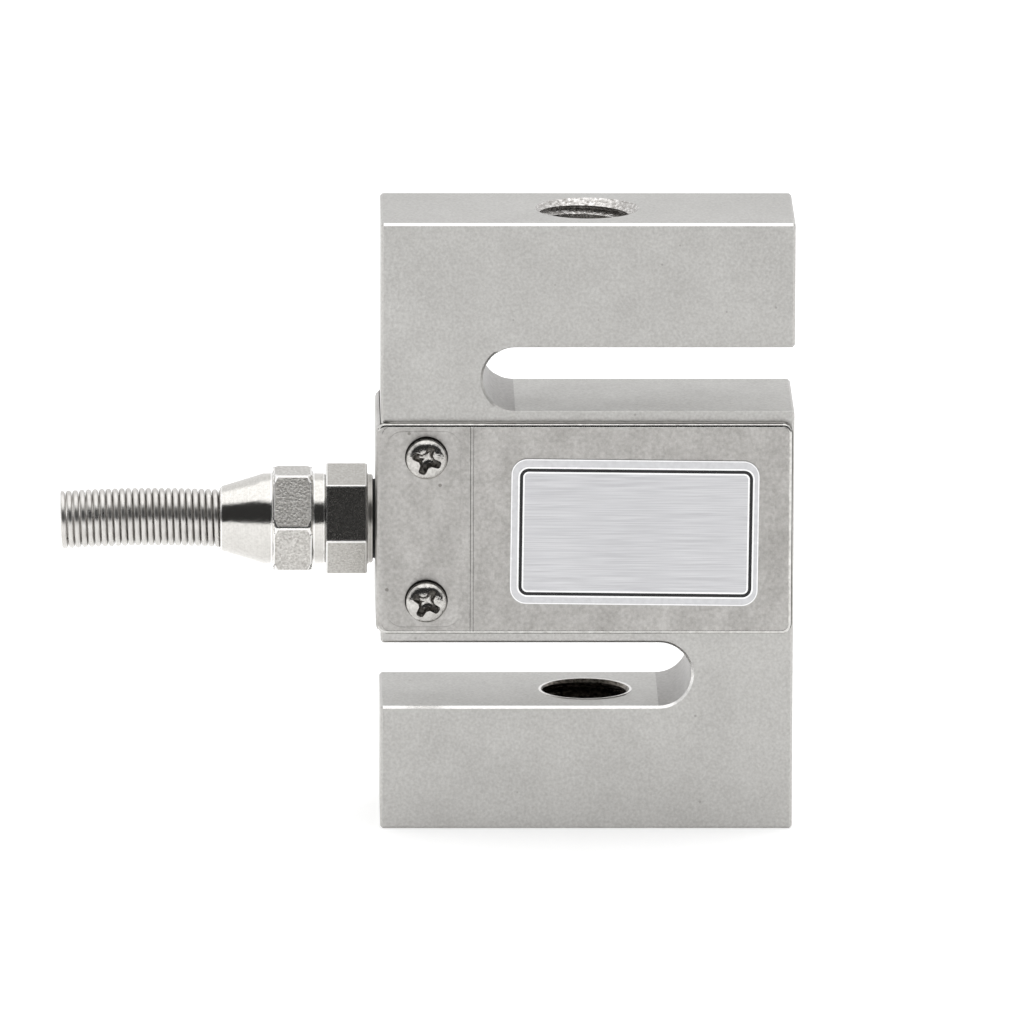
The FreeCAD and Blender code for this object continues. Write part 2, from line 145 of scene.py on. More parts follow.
@dataclass(frozen=True)
class Grain:
    """One layer of surface detail.

    Args:
        pattern: The kind of pattern.
        size: Real size of the pattern along X, Y and Z.
        tone: How far it moves the colour from the light tone to the dark one.
        rough: How far it moves the roughness, up and down.
        height: How high it stands.
        detail: Octaves of finer detail in it.
    """

    pattern: Pattern
    size: tuple[float, float, float]
    tone: float = 0.0
    rough: float = 0.0
    height: float = 0.0
    detail: float = 3.0


def cloud(size: float, **layer: float) -> Grain:
    """A cloudy grain that is as long as it is wide and deep."""
    return Grain(Pattern.CLOUD, (size, size, size), **layer)


@dataclass(frozen=True)
class Finish:
    """A real material and how its surface was made.

    Args:
        name: The material's name.
        light: Its light tone, as sRGB hex.
        dark: Its dark tone, as sRGB hex.
        metallic: 1 for bare metal.
        roughness: The mean roughness.
        grains: The layers of surface detail.
        coat: Weight of a clear layer.
        ior: Refractive index; a metal keeps the default.
    """

    name: str
    light: str
    dark: str
    metallic: float
    roughness: float
    grains: tuple[Grain, ...]
    coat: float = 0.0
    ior: float = 1.5

    def material(self) -> bpy.types.Material:
        """Build the material once and hand the same one out afterwards.

        Returns:
            The Blender material.
        """
        known = bpy.data.materials.get(self.name)
        if known:
            return known
        material = bpy.data.materials.new(self.name)
        tree = empty_tree(material)
        tones, roughs, normal = self.layers(tree)
        colour = add_node(tree, "ShaderNodeMix",
                          {"data_type": "RGBA", 6: linear_from_hex(self.light),
                           7: linear_from_hex(self.dark)}, {0: weighted_sum(tree, tones, 0.0)})
        smoothest = self.roughness - sum(amount for _, amount in roughs) / 2
        roughness = weighted_sum(tree, roughs, smoothest)
        links = {"Base Color": colour.outputs[2], "Roughness": roughness}
        if normal:
            links["Normal"] = normal
        settings = {"Metallic": self.metallic, "Coat Weight": self.coat}
        if self.metallic < 1:
            settings["IOR"] = self.ior
        shader = add_node(tree, "ShaderNodeBsdfPrincipled", settings, links)
        add_node(tree, "ShaderNodeOutputMaterial", {}, {"Surface": shader.outputs[0]})
        return material

    def layers(self, tree: Tree) -> tuple[list, list, Socket | None]:
        """Add every grain to a node tree.

        Args:
            tree: The material's node tree.

        Returns:
            The (socket, amount) pairs for tone and for roughness, and the last bump's normal.
        """
        place = add_node(tree, "ShaderNodeTexCoord", {}, {}).outputs["Object"]
        tones, roughs, normal = [], [], None
        for grain in self.grains:
            value = self.pattern(tree, grain, place)
            if grain.tone:
                tones.append((value, grain.tone))
            if grain.rough:
                roughs.append((value, grain.rough))
            if grain.height:
                before = {"Normal": normal} if normal else {}
                bump = add_node(tree, "ShaderNodeBump", {"Distance": grain.height * MM},
                                {"Height": value, **before})
                normal = bump.outputs[0]
        return tones, roughs, normal

    def pattern(self, tree: Tree, grain: Grain, place: Socket) -> Socket:
        """Add one grain's pattern, its scale worked out from its real size.

        Args:
            tree: The material's node tree.
            grain: The layer to draw.
            place: The coordinates, in metres.

        Returns:
            The socket with the pattern's value, about 0 to 1.
        """
        scale = tuple(1 / (size * MM) for size in grain.size)
        mapped = add_node(tree, "ShaderNodeMapping", {"Scale": scale}, {"Vector": place}).outputs[0]
        if grain.pattern is Pattern.PITS:
            kind, settings = "ShaderNodeTexVoronoi", {"Scale": 1.0, "Randomness": 1.0}
        else:
            kind = "ShaderNodeTexNoise"
            settings = {"Scale": 1.0, "Detail": grain.detail, "Roughness": NOISE_ROUGHNESS}
        texture = add_node(tree, kind, settings, {"Vector": mapped})
        least, most = grain.pattern.value
        return add_node(tree, "ShaderNodeMapRange", {"From Min": least, "From Max": most},
                        {"Value": texture.outputs[0]}).outputs[0]


def weighted_sum(tree: Tree, pairs: list, start: float) -> Socket:
    """Add up sockets, each times its amount.

    Args:
        tree: The node tree.
        pairs: One or more (socket, amount) pairs.
        start: The value to start from.

    Returns:
        The sum's socket.
    """
    total = None
    for socket, amount in pairs:
        settings = {"operation": "MULTIPLY_ADD", 1: amount, 2: start}
        before = {2: total} if total else {}
        total = add_node(tree, "ShaderNodeMath", settings, {0: socket, **before}).outputs[0]
    return total


# Nickel over a ground and tumbled steel block: silky, with a fine even grain and faint clouds.
# The tumbled grain is about 0.1 mm; it is drawn at 0.35 mm, so that it shows
PEARL_NICKEL = Finish(
    "pearl_nickel_plated_steel", "CAC9C6", "A5A3A0", 1.0, 0.36,
    (cloud(9, tone=0.2, rough=0.03, detail=4),
     cloud(0.35, tone=0.5, rough=0.06, height=0.004),
     Grain(Pattern.PITS, (3.2, 3.2, 3.2), tone=0.8)))

# The same steel where the tap cut it: silvery flanks with fine tears, drawn about twice too coarse.
# Its near-white light tone is partly painted highlight, for light reaching into the upper hole
CUT_THREAD = Finish(
    "tapped_and_plated_steel", "F4F2F0", "6E6963", 1.0, 0.26,
    (Grain(Pattern.CLOUD, (0.45, 0.45, 0.25), tone=0.9, rough=0.1, height=0.035),))

# The lower thread, painted nearly black: painted shade for the dark inside of the hole through the
# lower arm
OILED_THREAD = Finish(
    "tapped_steel_wet_with_cutting_oil", "A8A199", "2A2724", 1.0, 0.34,
    (Grain(Pattern.CLOUD, (0.6, 0.6, 0.4), tone=1.0, rough=0.1, height=0.03),))

# The same nickel on broken edges, near white: painted highlight along the edges, partly burnish
# from rubbing, seen as a thin white ring
BURNISHED_NICKEL = Finish(
    "burnished_nickel_plated_steel", "F6F5F3", "E2E0DE", 1.0, 0.24,
    (cloud(0.5, tone=0.5, rough=0.06, height=0.004, detail=2),))

# The same steel at the round ends of the slots, rougher where the end mill cut, and painted greyer:
# painted shade from the slot's ceiling and the dark room
MILLED_NICKEL = Finish(
    "end_milled_and_plated_steel", "B6B4B2", "969492", 1.0, 0.42,
    (cloud(0.4, tone=0.5, rough=0.08, height=0.004),))

# Stainless sheet, pickled and wiped: cloudy, with upright smears. The pickled grain is about
# 0.1 mm; it is drawn at 0.4 mm, so that it shows
PICKLED_STAINLESS = Finish(
    "pickled_stainless_sheet", "C8C6C3", "8F8C88", 1.0, 0.38,
    (Grain(Pattern.CLOUD, (3.5, 3.5, 8), tone=0.3, rough=0.06, detail=5),
     cloud(0.4, tone=0.42, rough=0.05, height=0.005),
     Grain(Pattern.PITS, (4.5, 4.5, 4.5), tone=1.0)))

# The same sheet where the press tool rolled its edge over: burnished and smoother, and lighter in
# tone as a painted highlight along the edge
ROLLED_STAINLESS = Finish(
    "rolled_stainless_edge", "DEDDDA", "A9A7A3", 1.0, 0.16,
    (cloud(0.7, tone=0.6, rough=0.1, height=0.006),))

# Painted shade, dark and dull: in the crease lines, in the rings round the screws' heads and along
# the cover's right rim
CAUGHT_DUST = Finish(
    "dust_in_pressed_lines", "55514C", "2E2B28", 0.0, 0.8,
    (cloud(0.5, tone=0.8, rough=0.1),))

# Brass turned and bright nickel plated: a mirror with a fine orange skin. The turning marks are
# about 0.05 mm apart; they are drawn at 0.14 mm, so that they show
BRIGHT_NICKEL = Finish(
    "bright_nickel_plated_brass", "DCDAD6", "BEBBB6", 1.0, 0.13,
    (cloud(0.35, tone=0.5, rough=0.08, height=0.004),
     Grain(Pattern.LINES, (0.14, 4, 4), tone=0.1, height=0.001, detail=1)))

# The same plating over the forged hexagons: sparkling, from the grain of the die, which is drawn
# at 0.3 mm in place of 0.1 mm, so that it shows
FORGED_NICKEL = Finish(
    "bright_nickel_plated_forged_hexagon", "CAC8C4", "9A9690", 1.0, 0.24,
    (cloud(0.3, tone=0.7, rough=0.1, height=0.014),))

# The compression nut's hexagon, left as blasted under the plating: silvery and speckled. The
# grit's marks are about 0.1 mm; they are drawn at 0.3 mm, so that they show
BLASTED_NICKEL = Finish(
    "bright_nickel_plated_blasted_hexagon", "DEDCD8", "8E8A85", 1.0, 0.34,
    (cloud(0.3, tone=0.8, rough=0.14, height=0.024),))

# Spring wire, drawn and nickel plated: bright, with faint marks of the die, drawn at 0.12 mm in
# place of 0.03 mm, so that they show
DRAWN_WIRE = Finish(
    "drawn_nickel_plated_wire", "DCDAD7", "B0ADA8", 1.0, 0.3,
    (cloud(1.2, tone=0.4, rough=0.08),
     Grain(Pattern.LINES, (0.12, 1.5, 1.5), tone=0.2, height=0.002, detail=1)))

# Cold-headed screw, bright zinc plated: shiny, slightly pitted from the die and the driver
ZINC_SCREW = Finish(
    "bright_zinc_plated_screw", "D2D0CC", "7E7A75", 1.0, 0.16,
    (cloud(0.5, tone=0.5, rough=0.1, height=0.02),))

# The recess, dull and torn where the driver slipped, mottled down to near black: partly painted
# shade in the recess
WORN_RECESS = Finish(
    "worn_screw_recess", "C2BEB8", "2E2B28", 1.0, 0.36,
    (cloud(0.45, tone=1.0, rough=0.2, height=0.12),))

# Aluminium foil, brushed one way along the plate: bright with level hair lines, drawn at 0.12 mm
# in place of 0.05 mm, so that they show
BRUSHED_FOIL = Finish(
    "brushed_aluminium_foil", "D8D8DA", "BABABD", 1.0, 0.36,
    (Grain(Pattern.LINES, (9, 0.3, 0.12), tone=0.45, rough=0.08, height=0.001, detail=2),
     cloud(12, tone=0.12, detail=2)))

# The same foil under clear lacquer, as the plate's rim: even and silvery
CLEAR_FOIL = Finish(
    "clear_lacquered_aluminium_foil", "D6D6D8", "C5C5C7", 1.0, 0.34,
    (cloud(0.6, tone=0.5, rough=0.06, height=0.002, detail=2),), coat=0.1)

# The same foil rolled bright beside the frame line, as two thin white lines; also the thin white
# line along the plate's edge, a painted highlight of its rim
ROLLED_FOIL = Finish(
    "bright_rolled_aluminium_foil", "FDFDFD", "F0F0F1", 1.0, 0.3,
    (cloud(0.6, tone=0.5, rough=0.06, detail=2),))

# Black screen ink: dense, with the faint tooth of the mesh, drawn at 0.3 mm in place of 0.1 mm
BLACK_INK = Finish(
    "screen_printed_black_ink", "161618", "2C2C2E", 0.0, 0.42,
    (cloud(0.3, tone=0.6, rough=0.08, height=0.002, detail=2),))

# Moulded nitrile rubber: black, dry and slightly dusty
NITRILE_RUBBER = Finish(
    "moulded_nitrile_rubber", "2A2A2A", "161616", 0.0, 0.7,
    (cloud(0.8, tone=0.6, rough=0.1, height=0.01),), ior=1.52)

# Silicone sheet, cut with a knife: matt, with a faintly torn edge. Its pale tone is partly painted
# light, raised against the shade at the cover's edge
CUT_SILICONE = Finish(
    "cut_silicone_sheet", "E6E4E0", "C6C3BE", 0.0, 0.55,
    (cloud(0.6, tone=0.7, rough=0.1, height=0.02, detail=2),), ior=1.42)

# Moulded nylon: black with a satin skin
MOULDED_NYLON = Finish(
    "moulded_nylon", "262627", "18181A", 0.0, 0.5,
    (cloud(0.5, tone=0.5, rough=0.1, height=0.004, detail=2),), ior=1.53)

# Polyimide film under the gauges: amber and glossy
POLYIMIDE_FILM = Finish(
    "polyimide_film", "B9812E", "8E5C1B", 0.0, 0.3,
    (cloud(1.5, tone=0.6, rough=0.1, detail=2),), coat=0.3, ior=1.7)

# Constantan gauge foil, etched: coppery and matt
ETCHED_CONSTANTAN = Finish(
    "etched_constantan_foil", "CFA67C", "A87F58", 1.0, 0.38,
    (Grain(Pattern.LINES, (0.2, 0.2, 1.2), tone=0.5, rough=0.08, detail=2),))

# Glass-fibre laminate under green solder mask: glossy, with the 0.5 mm weave just showing
SOLDER_MASK = Finish(
    "green_solder_mask", "1E6B3C", "124A28", 0.0, 0.28,
    (Grain(Pattern.LINES, (0.5, 0.5, 0.5), tone=0.5, rough=0.06, height=0.004, detail=1),),
    coat=0.2)

# Hand-tinned pads: bright, uneven solder
TINNED_PAD = Finish(
    "tinned_solder_pad", "D8D8D6", "A9A9A8", 1.0, 0.25,
    (cloud(0.5, tone=0.6, rough=0.12, height=0.02, detail=2),))

# Fired alumina chip with a printed top: matt and dark
FIRED_CERAMIC = Finish(
    "fired_chip_ceramic", "2B2B2E", "1C1C1F", 0.0, 0.55,
    (cloud(0.3, tone=0.5, rough=0.1, height=0.003, detail=2),), ior=1.7)

# Copper wire in clear red enamel
ENAMELLED_COPPER = Finish(
    "enamelled_copper_wire", "C0653A", "8C3F20", 1.0, 0.25,
    (cloud(0.6, tone=0.5, rough=0.1, detail=2),), coat=0.5)


# ---------------------------------------------------------------- mesh tools

def new_piece(name: str, mesh: Mesh, finish: Finish,
              smooth_below: float = 32.0) -> Piece:
    """Make a piece from a mesh, smooth its gentle edges, dress it and let it ride on the body.

    Args:
        name: The piece's name.
        mesh: Its mesh, in metres, in the row frame. It is freed.
        finish: The finish it gets.
        smooth_below: Edges gentler than this, in degrees, shade smooth.

    Returns:
        The new object.
    """
    face_outwards(mesh)
    piece = add_object(name, mesh)
    add_finishes(piece, finish)
    shade_smooth(piece, smooth_below)
    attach(piece, BODY)
    return piece


def add_object(name: str, mesh: Mesh) -> Piece:
    """Put a mesh into the scene as an object.

    Args:
        name: The object's name.
        mesh: Its mesh, which is freed.

    Returns:
        The new object.
    """
    data = bpy.data.meshes.new(name)
    mesh.to_mesh(data)
    mesh.free()
    added = bpy.data.objects.new(name, data)
    bpy.context.scene.collection.objects.link(added)
    return added


def add_finishes(piece: Piece, *finishes: Finish) -> None:
    """Give a piece one more material slot for each finish."""
    for finish in finishes:
        piece.data.materials.append(finish.material())


def face_outwards(mesh: Mesh) -> None:
    """Turn every face of a closed mesh outwards.

    Args:
        mesh: The mesh.
    """
    bmesh.ops.recalc_face_normals(mesh, faces=mesh.faces)
    if mesh.calc_volume(signed=True) < 0:
        bmesh.ops.reverse_faces(mesh, faces=mesh.faces)


def shade_smooth(piece: Piece, smooth_below: float) -> None:
    """Clear a piece of slivers and shade it smooth, wide faces flat, apart from its sharper edges.

    Args:
        piece: The piece.
        smooth_below: The angle between faces, in degrees, from which an edge stays sharp.
    """
    mesh = bmesh.new()
    mesh.from_mesh(piece.data)
    bmesh.ops.remove_doubles(mesh, verts=mesh.verts, dist=SLIVER_M)
    bmesh.ops.dissolve_degenerate(mesh, dist=SLIVER_M, edges=mesh.edges)
    straight = math.radians(STRAIGHT_DEG)
    midway = [vert for vert in mesh.verts
              if len(vert.link_edges) == 2 and vert.calc_edge_angle(math.pi) < straight]
    bmesh.ops.dissolve_verts(mesh, verts=midway)
    for edge in mesh.edges:
        edge.smooth = True
    for edge in sharp_edges(mesh, smooth_below):
        edge.smooth = False
    for face in mesh.faces:
        face.smooth = True
    mesh.to_mesh(piece.data)
    mesh.free()
    weights = piece.modifiers.new("weights", "WEIGHTED_NORMAL")
    weights.keep_sharp = True
    weights.weight = WIDE_FACE_WEIGHT
    bake_modifiers(piece)


def bake_modifiers(piece: Piece) -> None:
    """Turn a piece's modifiers into plain mesh.

    Args:
        piece: The piece.
    """
    bpy.context.view_layer.update()
    depsgraph = bpy.context.evaluated_depsgraph_get()
    result = bpy.data.meshes.new_from_object(piece.evaluated_get(depsgraph))
    piece.modifiers.clear()
    piece.data = result


def box_mm(node: str) -> list[Vector]:
    """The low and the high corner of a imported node, in millimetres."""
    return [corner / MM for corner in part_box(node)]


def copy_of_node(node: str) -> Mesh:
    """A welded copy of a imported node's mesh, with its flat faces whole again.

    Args:
        node: The CAD node's name.

    Returns:
        The copy.
    """
    mesh = bmesh.new()
    mesh.from_mesh(frame["nodes"][node].data)
    bmesh.ops.remove_doubles(mesh, verts=mesh.verts, dist=WELD_M)
    join_flat_faces(mesh)
    return mesh


def join_flat_faces(mesh: Mesh) -> None:
    """Make one face of all that lie in one plane and touch."""
    bmesh.ops.dissolve_limit(mesh, angle_limit=math.radians(FLAT_DEG), verts=mesh.verts,
                             edges=mesh.edges)


def sharp_edges(mesh: Mesh, sharper_than: float) -> list[Edge]:
    """The edges of a mesh that are sharper than an angle in degrees."""
    return [edge for edge in mesh.edges if len(edge.link_faces) == 2
            and edge.calc_face_angle(0) > math.radians(sharper_than)]


def round_edges(mesh: Mesh, edges: list[Edge], width: float, segments: int = 2) -> list[Face]:
    """Round edges by a width on each side, in some segments, and give the rounding's faces."""
    return bmesh.ops.bevel(mesh, geom=edges, offset=width * MM, segments=segments, profile=0.5,
                           affect="EDGES", clamp_overlap=False)["faces"]


def ring(section: Points, steps: int) -> Mesh:
    """Turn a closed section about the Z axis, off the axis.

    Args:
        section: (radius, height) points, once round the section.
        steps: How many steps make the full turn.

    Returns:
        The ring's mesh, in metres.
    """
    mesh = bmesh.new()
    rings = []
    for step in range(steps):
        turn = 2 * math.pi * step / steps
        c, s = math.cos(turn), math.sin(turn)
        rings.append([mesh.verts.new((r * c * MM, r * s * MM, z * MM)) for r, z in section])
    join_rings(mesh, rings, True)
    return mesh


def revolved(profile: Points, steps: int) -> Mesh:
    """Turn a closed profile about the Z axis.

    Args:
        profile: (radius, height) points from the axis round to the axis again.
        steps: How many steps make the full turn.

    Returns:
        The solid's mesh, in metres.
    """
    mesh = bmesh.new()
    rings = []
    for radius, height in profile:
        turns = [2 * math.pi * step / steps for step in range(steps if radius else 1)]
        rings.append([mesh.verts.new((radius * math.cos(turn) * MM, radius * math.sin(turn) * MM,
                                      height * MM)) for turn in turns])
    for lower, upper in zip(rings, rings[1:]):
        for step in range(steps):
            after = (step + 1) % steps
            corners = [lower[step % len(lower)], lower[after % len(lower)],
                       upper[after % len(upper)], upper[step % len(upper)]]
            mesh.faces.new(list(dict.fromkeys(corners)))
    return mesh


def swept(section: Points, path: list[tuple[Vector, Vector, Vector]]) -> Mesh:
    """Sweep a closed section along a path and close both ends.

    Args:
        section: (across, up) points of the section, in millimetres.
        path: A centre in millimetres, an across direction and an up direction for each station.

    Returns:
        The solid's mesh, in metres.
    """
    mesh = bmesh.new()
    rings = [[mesh.verts.new((centre + across * u + up * v) * MM) for u, v in section]
             for centre, across, up in path]
    join_rings(mesh, rings, False)
    mesh.faces.new(rings[0])
    mesh.faces.new(rings[-1])
    return mesh


def cut_with(piece: Piece, cutters: list[Mesh]) -> None:
    """Cut closed meshes out of a piece.

    Args:
        piece: The piece to cut.
        cutters: The meshes to take away. They are freed.
    """
    for mesh in cutters:
        face_outwards(mesh)
        cutter = add_object("cutter", mesh)
        modifier = piece.modifiers.new("cut", "BOOLEAN")
        modifier.operation = "DIFFERENCE"
        modifier.solver = "EXACT"
        modifier.object = cutter
        bake_modifiers(piece)
        bpy.data.objects.remove(cutter)


def rounded_outline(left: float, bottom: float, right: float, top: float, corner: float,
                    steps: int) -> Points:
    """A rectangle with round corners.

    Args:
        left: Its lowest X.
        bottom: Its lowest Z.
        right: Its highest X.
        top: Its highest Z.
        corner: Its corner radius.
        steps: Steps in each corner.

    Returns:
        The (x, z) points, once round.
    """
    centres = ((right - corner, top - corner), (left + corner, top - corner),
               (left + corner, bottom + corner), (right - corner, bottom + corner))
    points = []
    for quarter, (x, z) in enumerate(centres):
        for step in range(steps + 1):
            angle = math.pi / 2 * (quarter + step / steps)
            points.append((x + corner * math.cos(angle), z + corner * math.sin(angle)))
    return points


def join_rings(mesh: Mesh, rings: list, closed: bool) -> None:
    """Join rings of vertices with quads.

    Args:
        mesh: The mesh that holds them.
        rings: Lists of as many vertices each, in order.
        closed: Whether the last ring joins the first.
    """
    pairs = list(zip(rings, rings[1:])) + ([(rings[-1], rings[0])] if closed else [])
    count = len(rings[0])
    for before, after in pairs:
        for step in range(count):
            following = (step + 1) % count
            mesh.faces.new((before[step], before[following], after[following], after[step]))


# ---------------------------------------------------------------- sub-assemblies

@dataclass
class SpringElement:
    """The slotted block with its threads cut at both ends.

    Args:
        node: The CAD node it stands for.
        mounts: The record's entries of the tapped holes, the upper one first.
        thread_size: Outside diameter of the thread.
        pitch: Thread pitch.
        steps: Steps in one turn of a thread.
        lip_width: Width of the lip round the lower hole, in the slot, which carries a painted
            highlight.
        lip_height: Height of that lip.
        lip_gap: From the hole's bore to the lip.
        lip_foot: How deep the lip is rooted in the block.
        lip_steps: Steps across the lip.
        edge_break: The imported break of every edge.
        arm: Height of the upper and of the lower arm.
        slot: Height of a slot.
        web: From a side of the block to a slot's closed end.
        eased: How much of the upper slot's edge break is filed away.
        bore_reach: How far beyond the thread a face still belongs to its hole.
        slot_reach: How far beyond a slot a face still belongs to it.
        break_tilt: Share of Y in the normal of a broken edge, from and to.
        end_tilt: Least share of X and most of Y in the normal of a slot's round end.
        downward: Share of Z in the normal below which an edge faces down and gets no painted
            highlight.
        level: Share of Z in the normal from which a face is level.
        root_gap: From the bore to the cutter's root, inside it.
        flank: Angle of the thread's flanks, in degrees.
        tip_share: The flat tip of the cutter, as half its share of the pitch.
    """

    node: str = "elastic_body"
    mounts: tuple[str, str] = ("upper_thread", "lower_thread")
    thread_size: float = 12.0
    pitch: float = 1.75
    steps: int = 56
    lip_width: float = 0.34
    lip_height: float = 0.09
    lip_gap: float = 0.36
    lip_foot: float = 0.05
    lip_steps: int = 8
    edge_break: float = 0.3
    arm: float = 15.5
    slot: float = 8.0
    web: float = 12.5
    eased: float = 0.8
    bore_reach: float = 0.45
    slot_reach: float = 0.5
    break_tilt: tuple[float, float] = (0.6, 0.8)
    end_tilt: tuple[float, float] = (0.02, 0.1)
    downward: float = -0.75
    level: float = 0.999
    root_gap: float = 0.15
    flank: float = 30.0
    tip_share: float = 1 / 16

    def build(self) -> list[Piece]:
        """Build the block with both threads.

        Returns:
            The pieces made.
        """
        mesh = copy_of_node(self.node)
        self.ease_upper_slot(mesh)
        block = new_piece("spring_element", mesh, PEARL_NICKEL)
        mounts = {mount["name"]: mount for mount in frame["record"]["mounts"]}
        cut_with(block, [self.thread_cutter(mounts[name]) for name in self.mounts])
        self.dress_faces(block)
        shade_smooth(block, smooth_below=24.0)
        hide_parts(self.node)
        return [block, self.lip(mounts[self.mounts[1]])]

    def ease_upper_slot(self, mesh: Mesh) -> None:
        """File the break of the upper slot's edges down to a hair line, as on the real block.

        Args:
            mesh: The block's mesh.
        """
        face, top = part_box(self.node)[1].y / MM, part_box(self.node)[1].z / MM
        low, high = top - self.arm - self.slot - NEAR, top - self.arm + NEAR
        corners = {}
        for edge in mesh.edges:
            inner, outer = sorted(edge.verts, key=lambda vert: abs(vert.co.y))
            depth = face - abs(inner.co.y) / MM
            across = math.hypot(outer.co.x - inner.co.x, outer.co.z - inner.co.z) / MM
            breaks = max(abs(depth - self.edge_break), abs(across - self.edge_break)) < 2 * NEAR
            if breaks and abs(outer.co.y) / MM > face - NEAR and low < inner.co.z / MM < high:
                corners[inner] = corners[outer] = Vector((inner.co.x, outer.co.y, inner.co.z))
        for vert, corner in corners.items():
            vert.co = vert.co.lerp(corner, self.eased)

    def dress_faces(self, block: Piece) -> None:
        """Give the threads, the edges and the round ends of the slots their finishes: painted
        highlight on the upper thread and the broken edges, painted shade in the lower thread and at
        the round ends.

        Args:
            block: The block with its threads.
        """
        add_finishes(block, CUT_THREAD, BURNISHED_NICKEL, MILLED_NICKEL, OILED_THREAD)
        high, reach = box_mm(self.node)[1], self.slot_reach
        for face in block.data.polygons:
            spot, normal = face.center / MM, face.normal
            in_bore = math.hypot(spot.x, spot.y) < self.thread_size / 2 + self.bore_reach
            upper_slot = high.z - self.arm - self.slot - reach < spot.z < high.z - self.arm + reach
            lower_slot = self.arm - reach < spot.z < self.arm + self.slot + reach
            on_edge = self.break_tilt[0] < abs(normal.y) < self.break_tilt[1]
            off_corner = abs(spot.x) < high.x - self.edge_break - SLACK
            bright = on_edge and off_corner and normal.z > self.downward
            at_end = abs(spot.x) < high.x - self.web + SLACK
            least_x, most_y = self.end_tilt
            rounded = at_end and abs(normal.x) > least_x and abs(normal.y) < most_y
            # The upper thread's near-white tone (index 1) is partly painted highlight
            if in_bore and abs(normal.z) < self.level:
                # Index 4 is painted shade in the lower thread
                face.material_index = 4 if spot.z < self.arm + reach else 1
            # Painted highlight on the broken edges of the lower slot and the top
            elif bright and (lower_slot or spot.z > high.z - reach):
                face.material_index = 2
            # Painted shade at the slots' round ends
            elif rounded and (upper_slot or lower_slot):
                face.material_index = 3

    def lip(self, mount: dict) -> Piece:
        """The lip that tapping raised round the lower hole in the slot, in a near-white finish: a
        painted highlight ring, partly burnish.

        Args:
            mount: The record's entry of the tapped hole.

        Returns:
            The lip's piece.
        """
        inside = mount["dims"]["r_mm"] + self.lip_gap
        foot = self.arm - self.lip_foot
        section = []
        for point in range(self.lip_steps + 1):
            angle = math.pi * point / self.lip_steps
            section.append((inside + self.lip_width / 2 * (1 - math.cos(angle)),
                            self.arm + self.lip_height * math.sin(angle)))
        section += [(inside + self.lip_width, foot), (inside, foot)]
        return new_piece("lip_painted_highlight", ring(section, steps=96), BURNISHED_NICKEL,
                         smooth_below=50.0)

    def thread_cutter(self, mount: dict) -> Mesh:
        """The helical ridge that cuts one tapped hole's thread.

        Args:
            mount: The record's entry of the tapped hole.

        Returns:
            The cutter's mesh.
        """
        bore = mount["dims"]["r_mm"]
        outer = self.thread_size / 2
        root = bore - self.root_gap
        tip_half = self.pitch * self.tip_share
        foot_half = tip_half + (outer - root) * math.tan(math.radians(self.flank))
        section = [(root, -foot_half), (outer, -tip_half), (outer, tip_half), (root, foot_half)]
        lowest, highest = self.thread_range(mount)
        turns = (highest - lowest) / self.pitch
        path = []
        for step in range(int(turns * self.steps) + 1):
            angle = 2 * math.pi * step / self.steps
            out = Vector((math.cos(angle), math.sin(angle), 0))
            centre = Vector((0, 0, lowest + self.pitch * step / self.steps))
            path.append((centre, out, Vector((0, 0, 1))))
        return swept(section, path)

    def thread_range(self, mount: dict) -> tuple[float, float]:
        """Where a thread starts and ends, a turn beyond both ends of its hole.

        Args:
            mount: The record's entry of the tapped hole.

        Returns:
            The lowest and highest station, in millimetres.
        """
        face = 0.0 if mount["axis"][2] < 0 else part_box(self.node)[1].z / MM
        inner = face - mount["axis"][2] * (mount["dims"]["length_mm"] + self.pitch)
        outer = face + mount["axis"][2] * self.pitch
        return min(inner, outer), max(inner, outer)


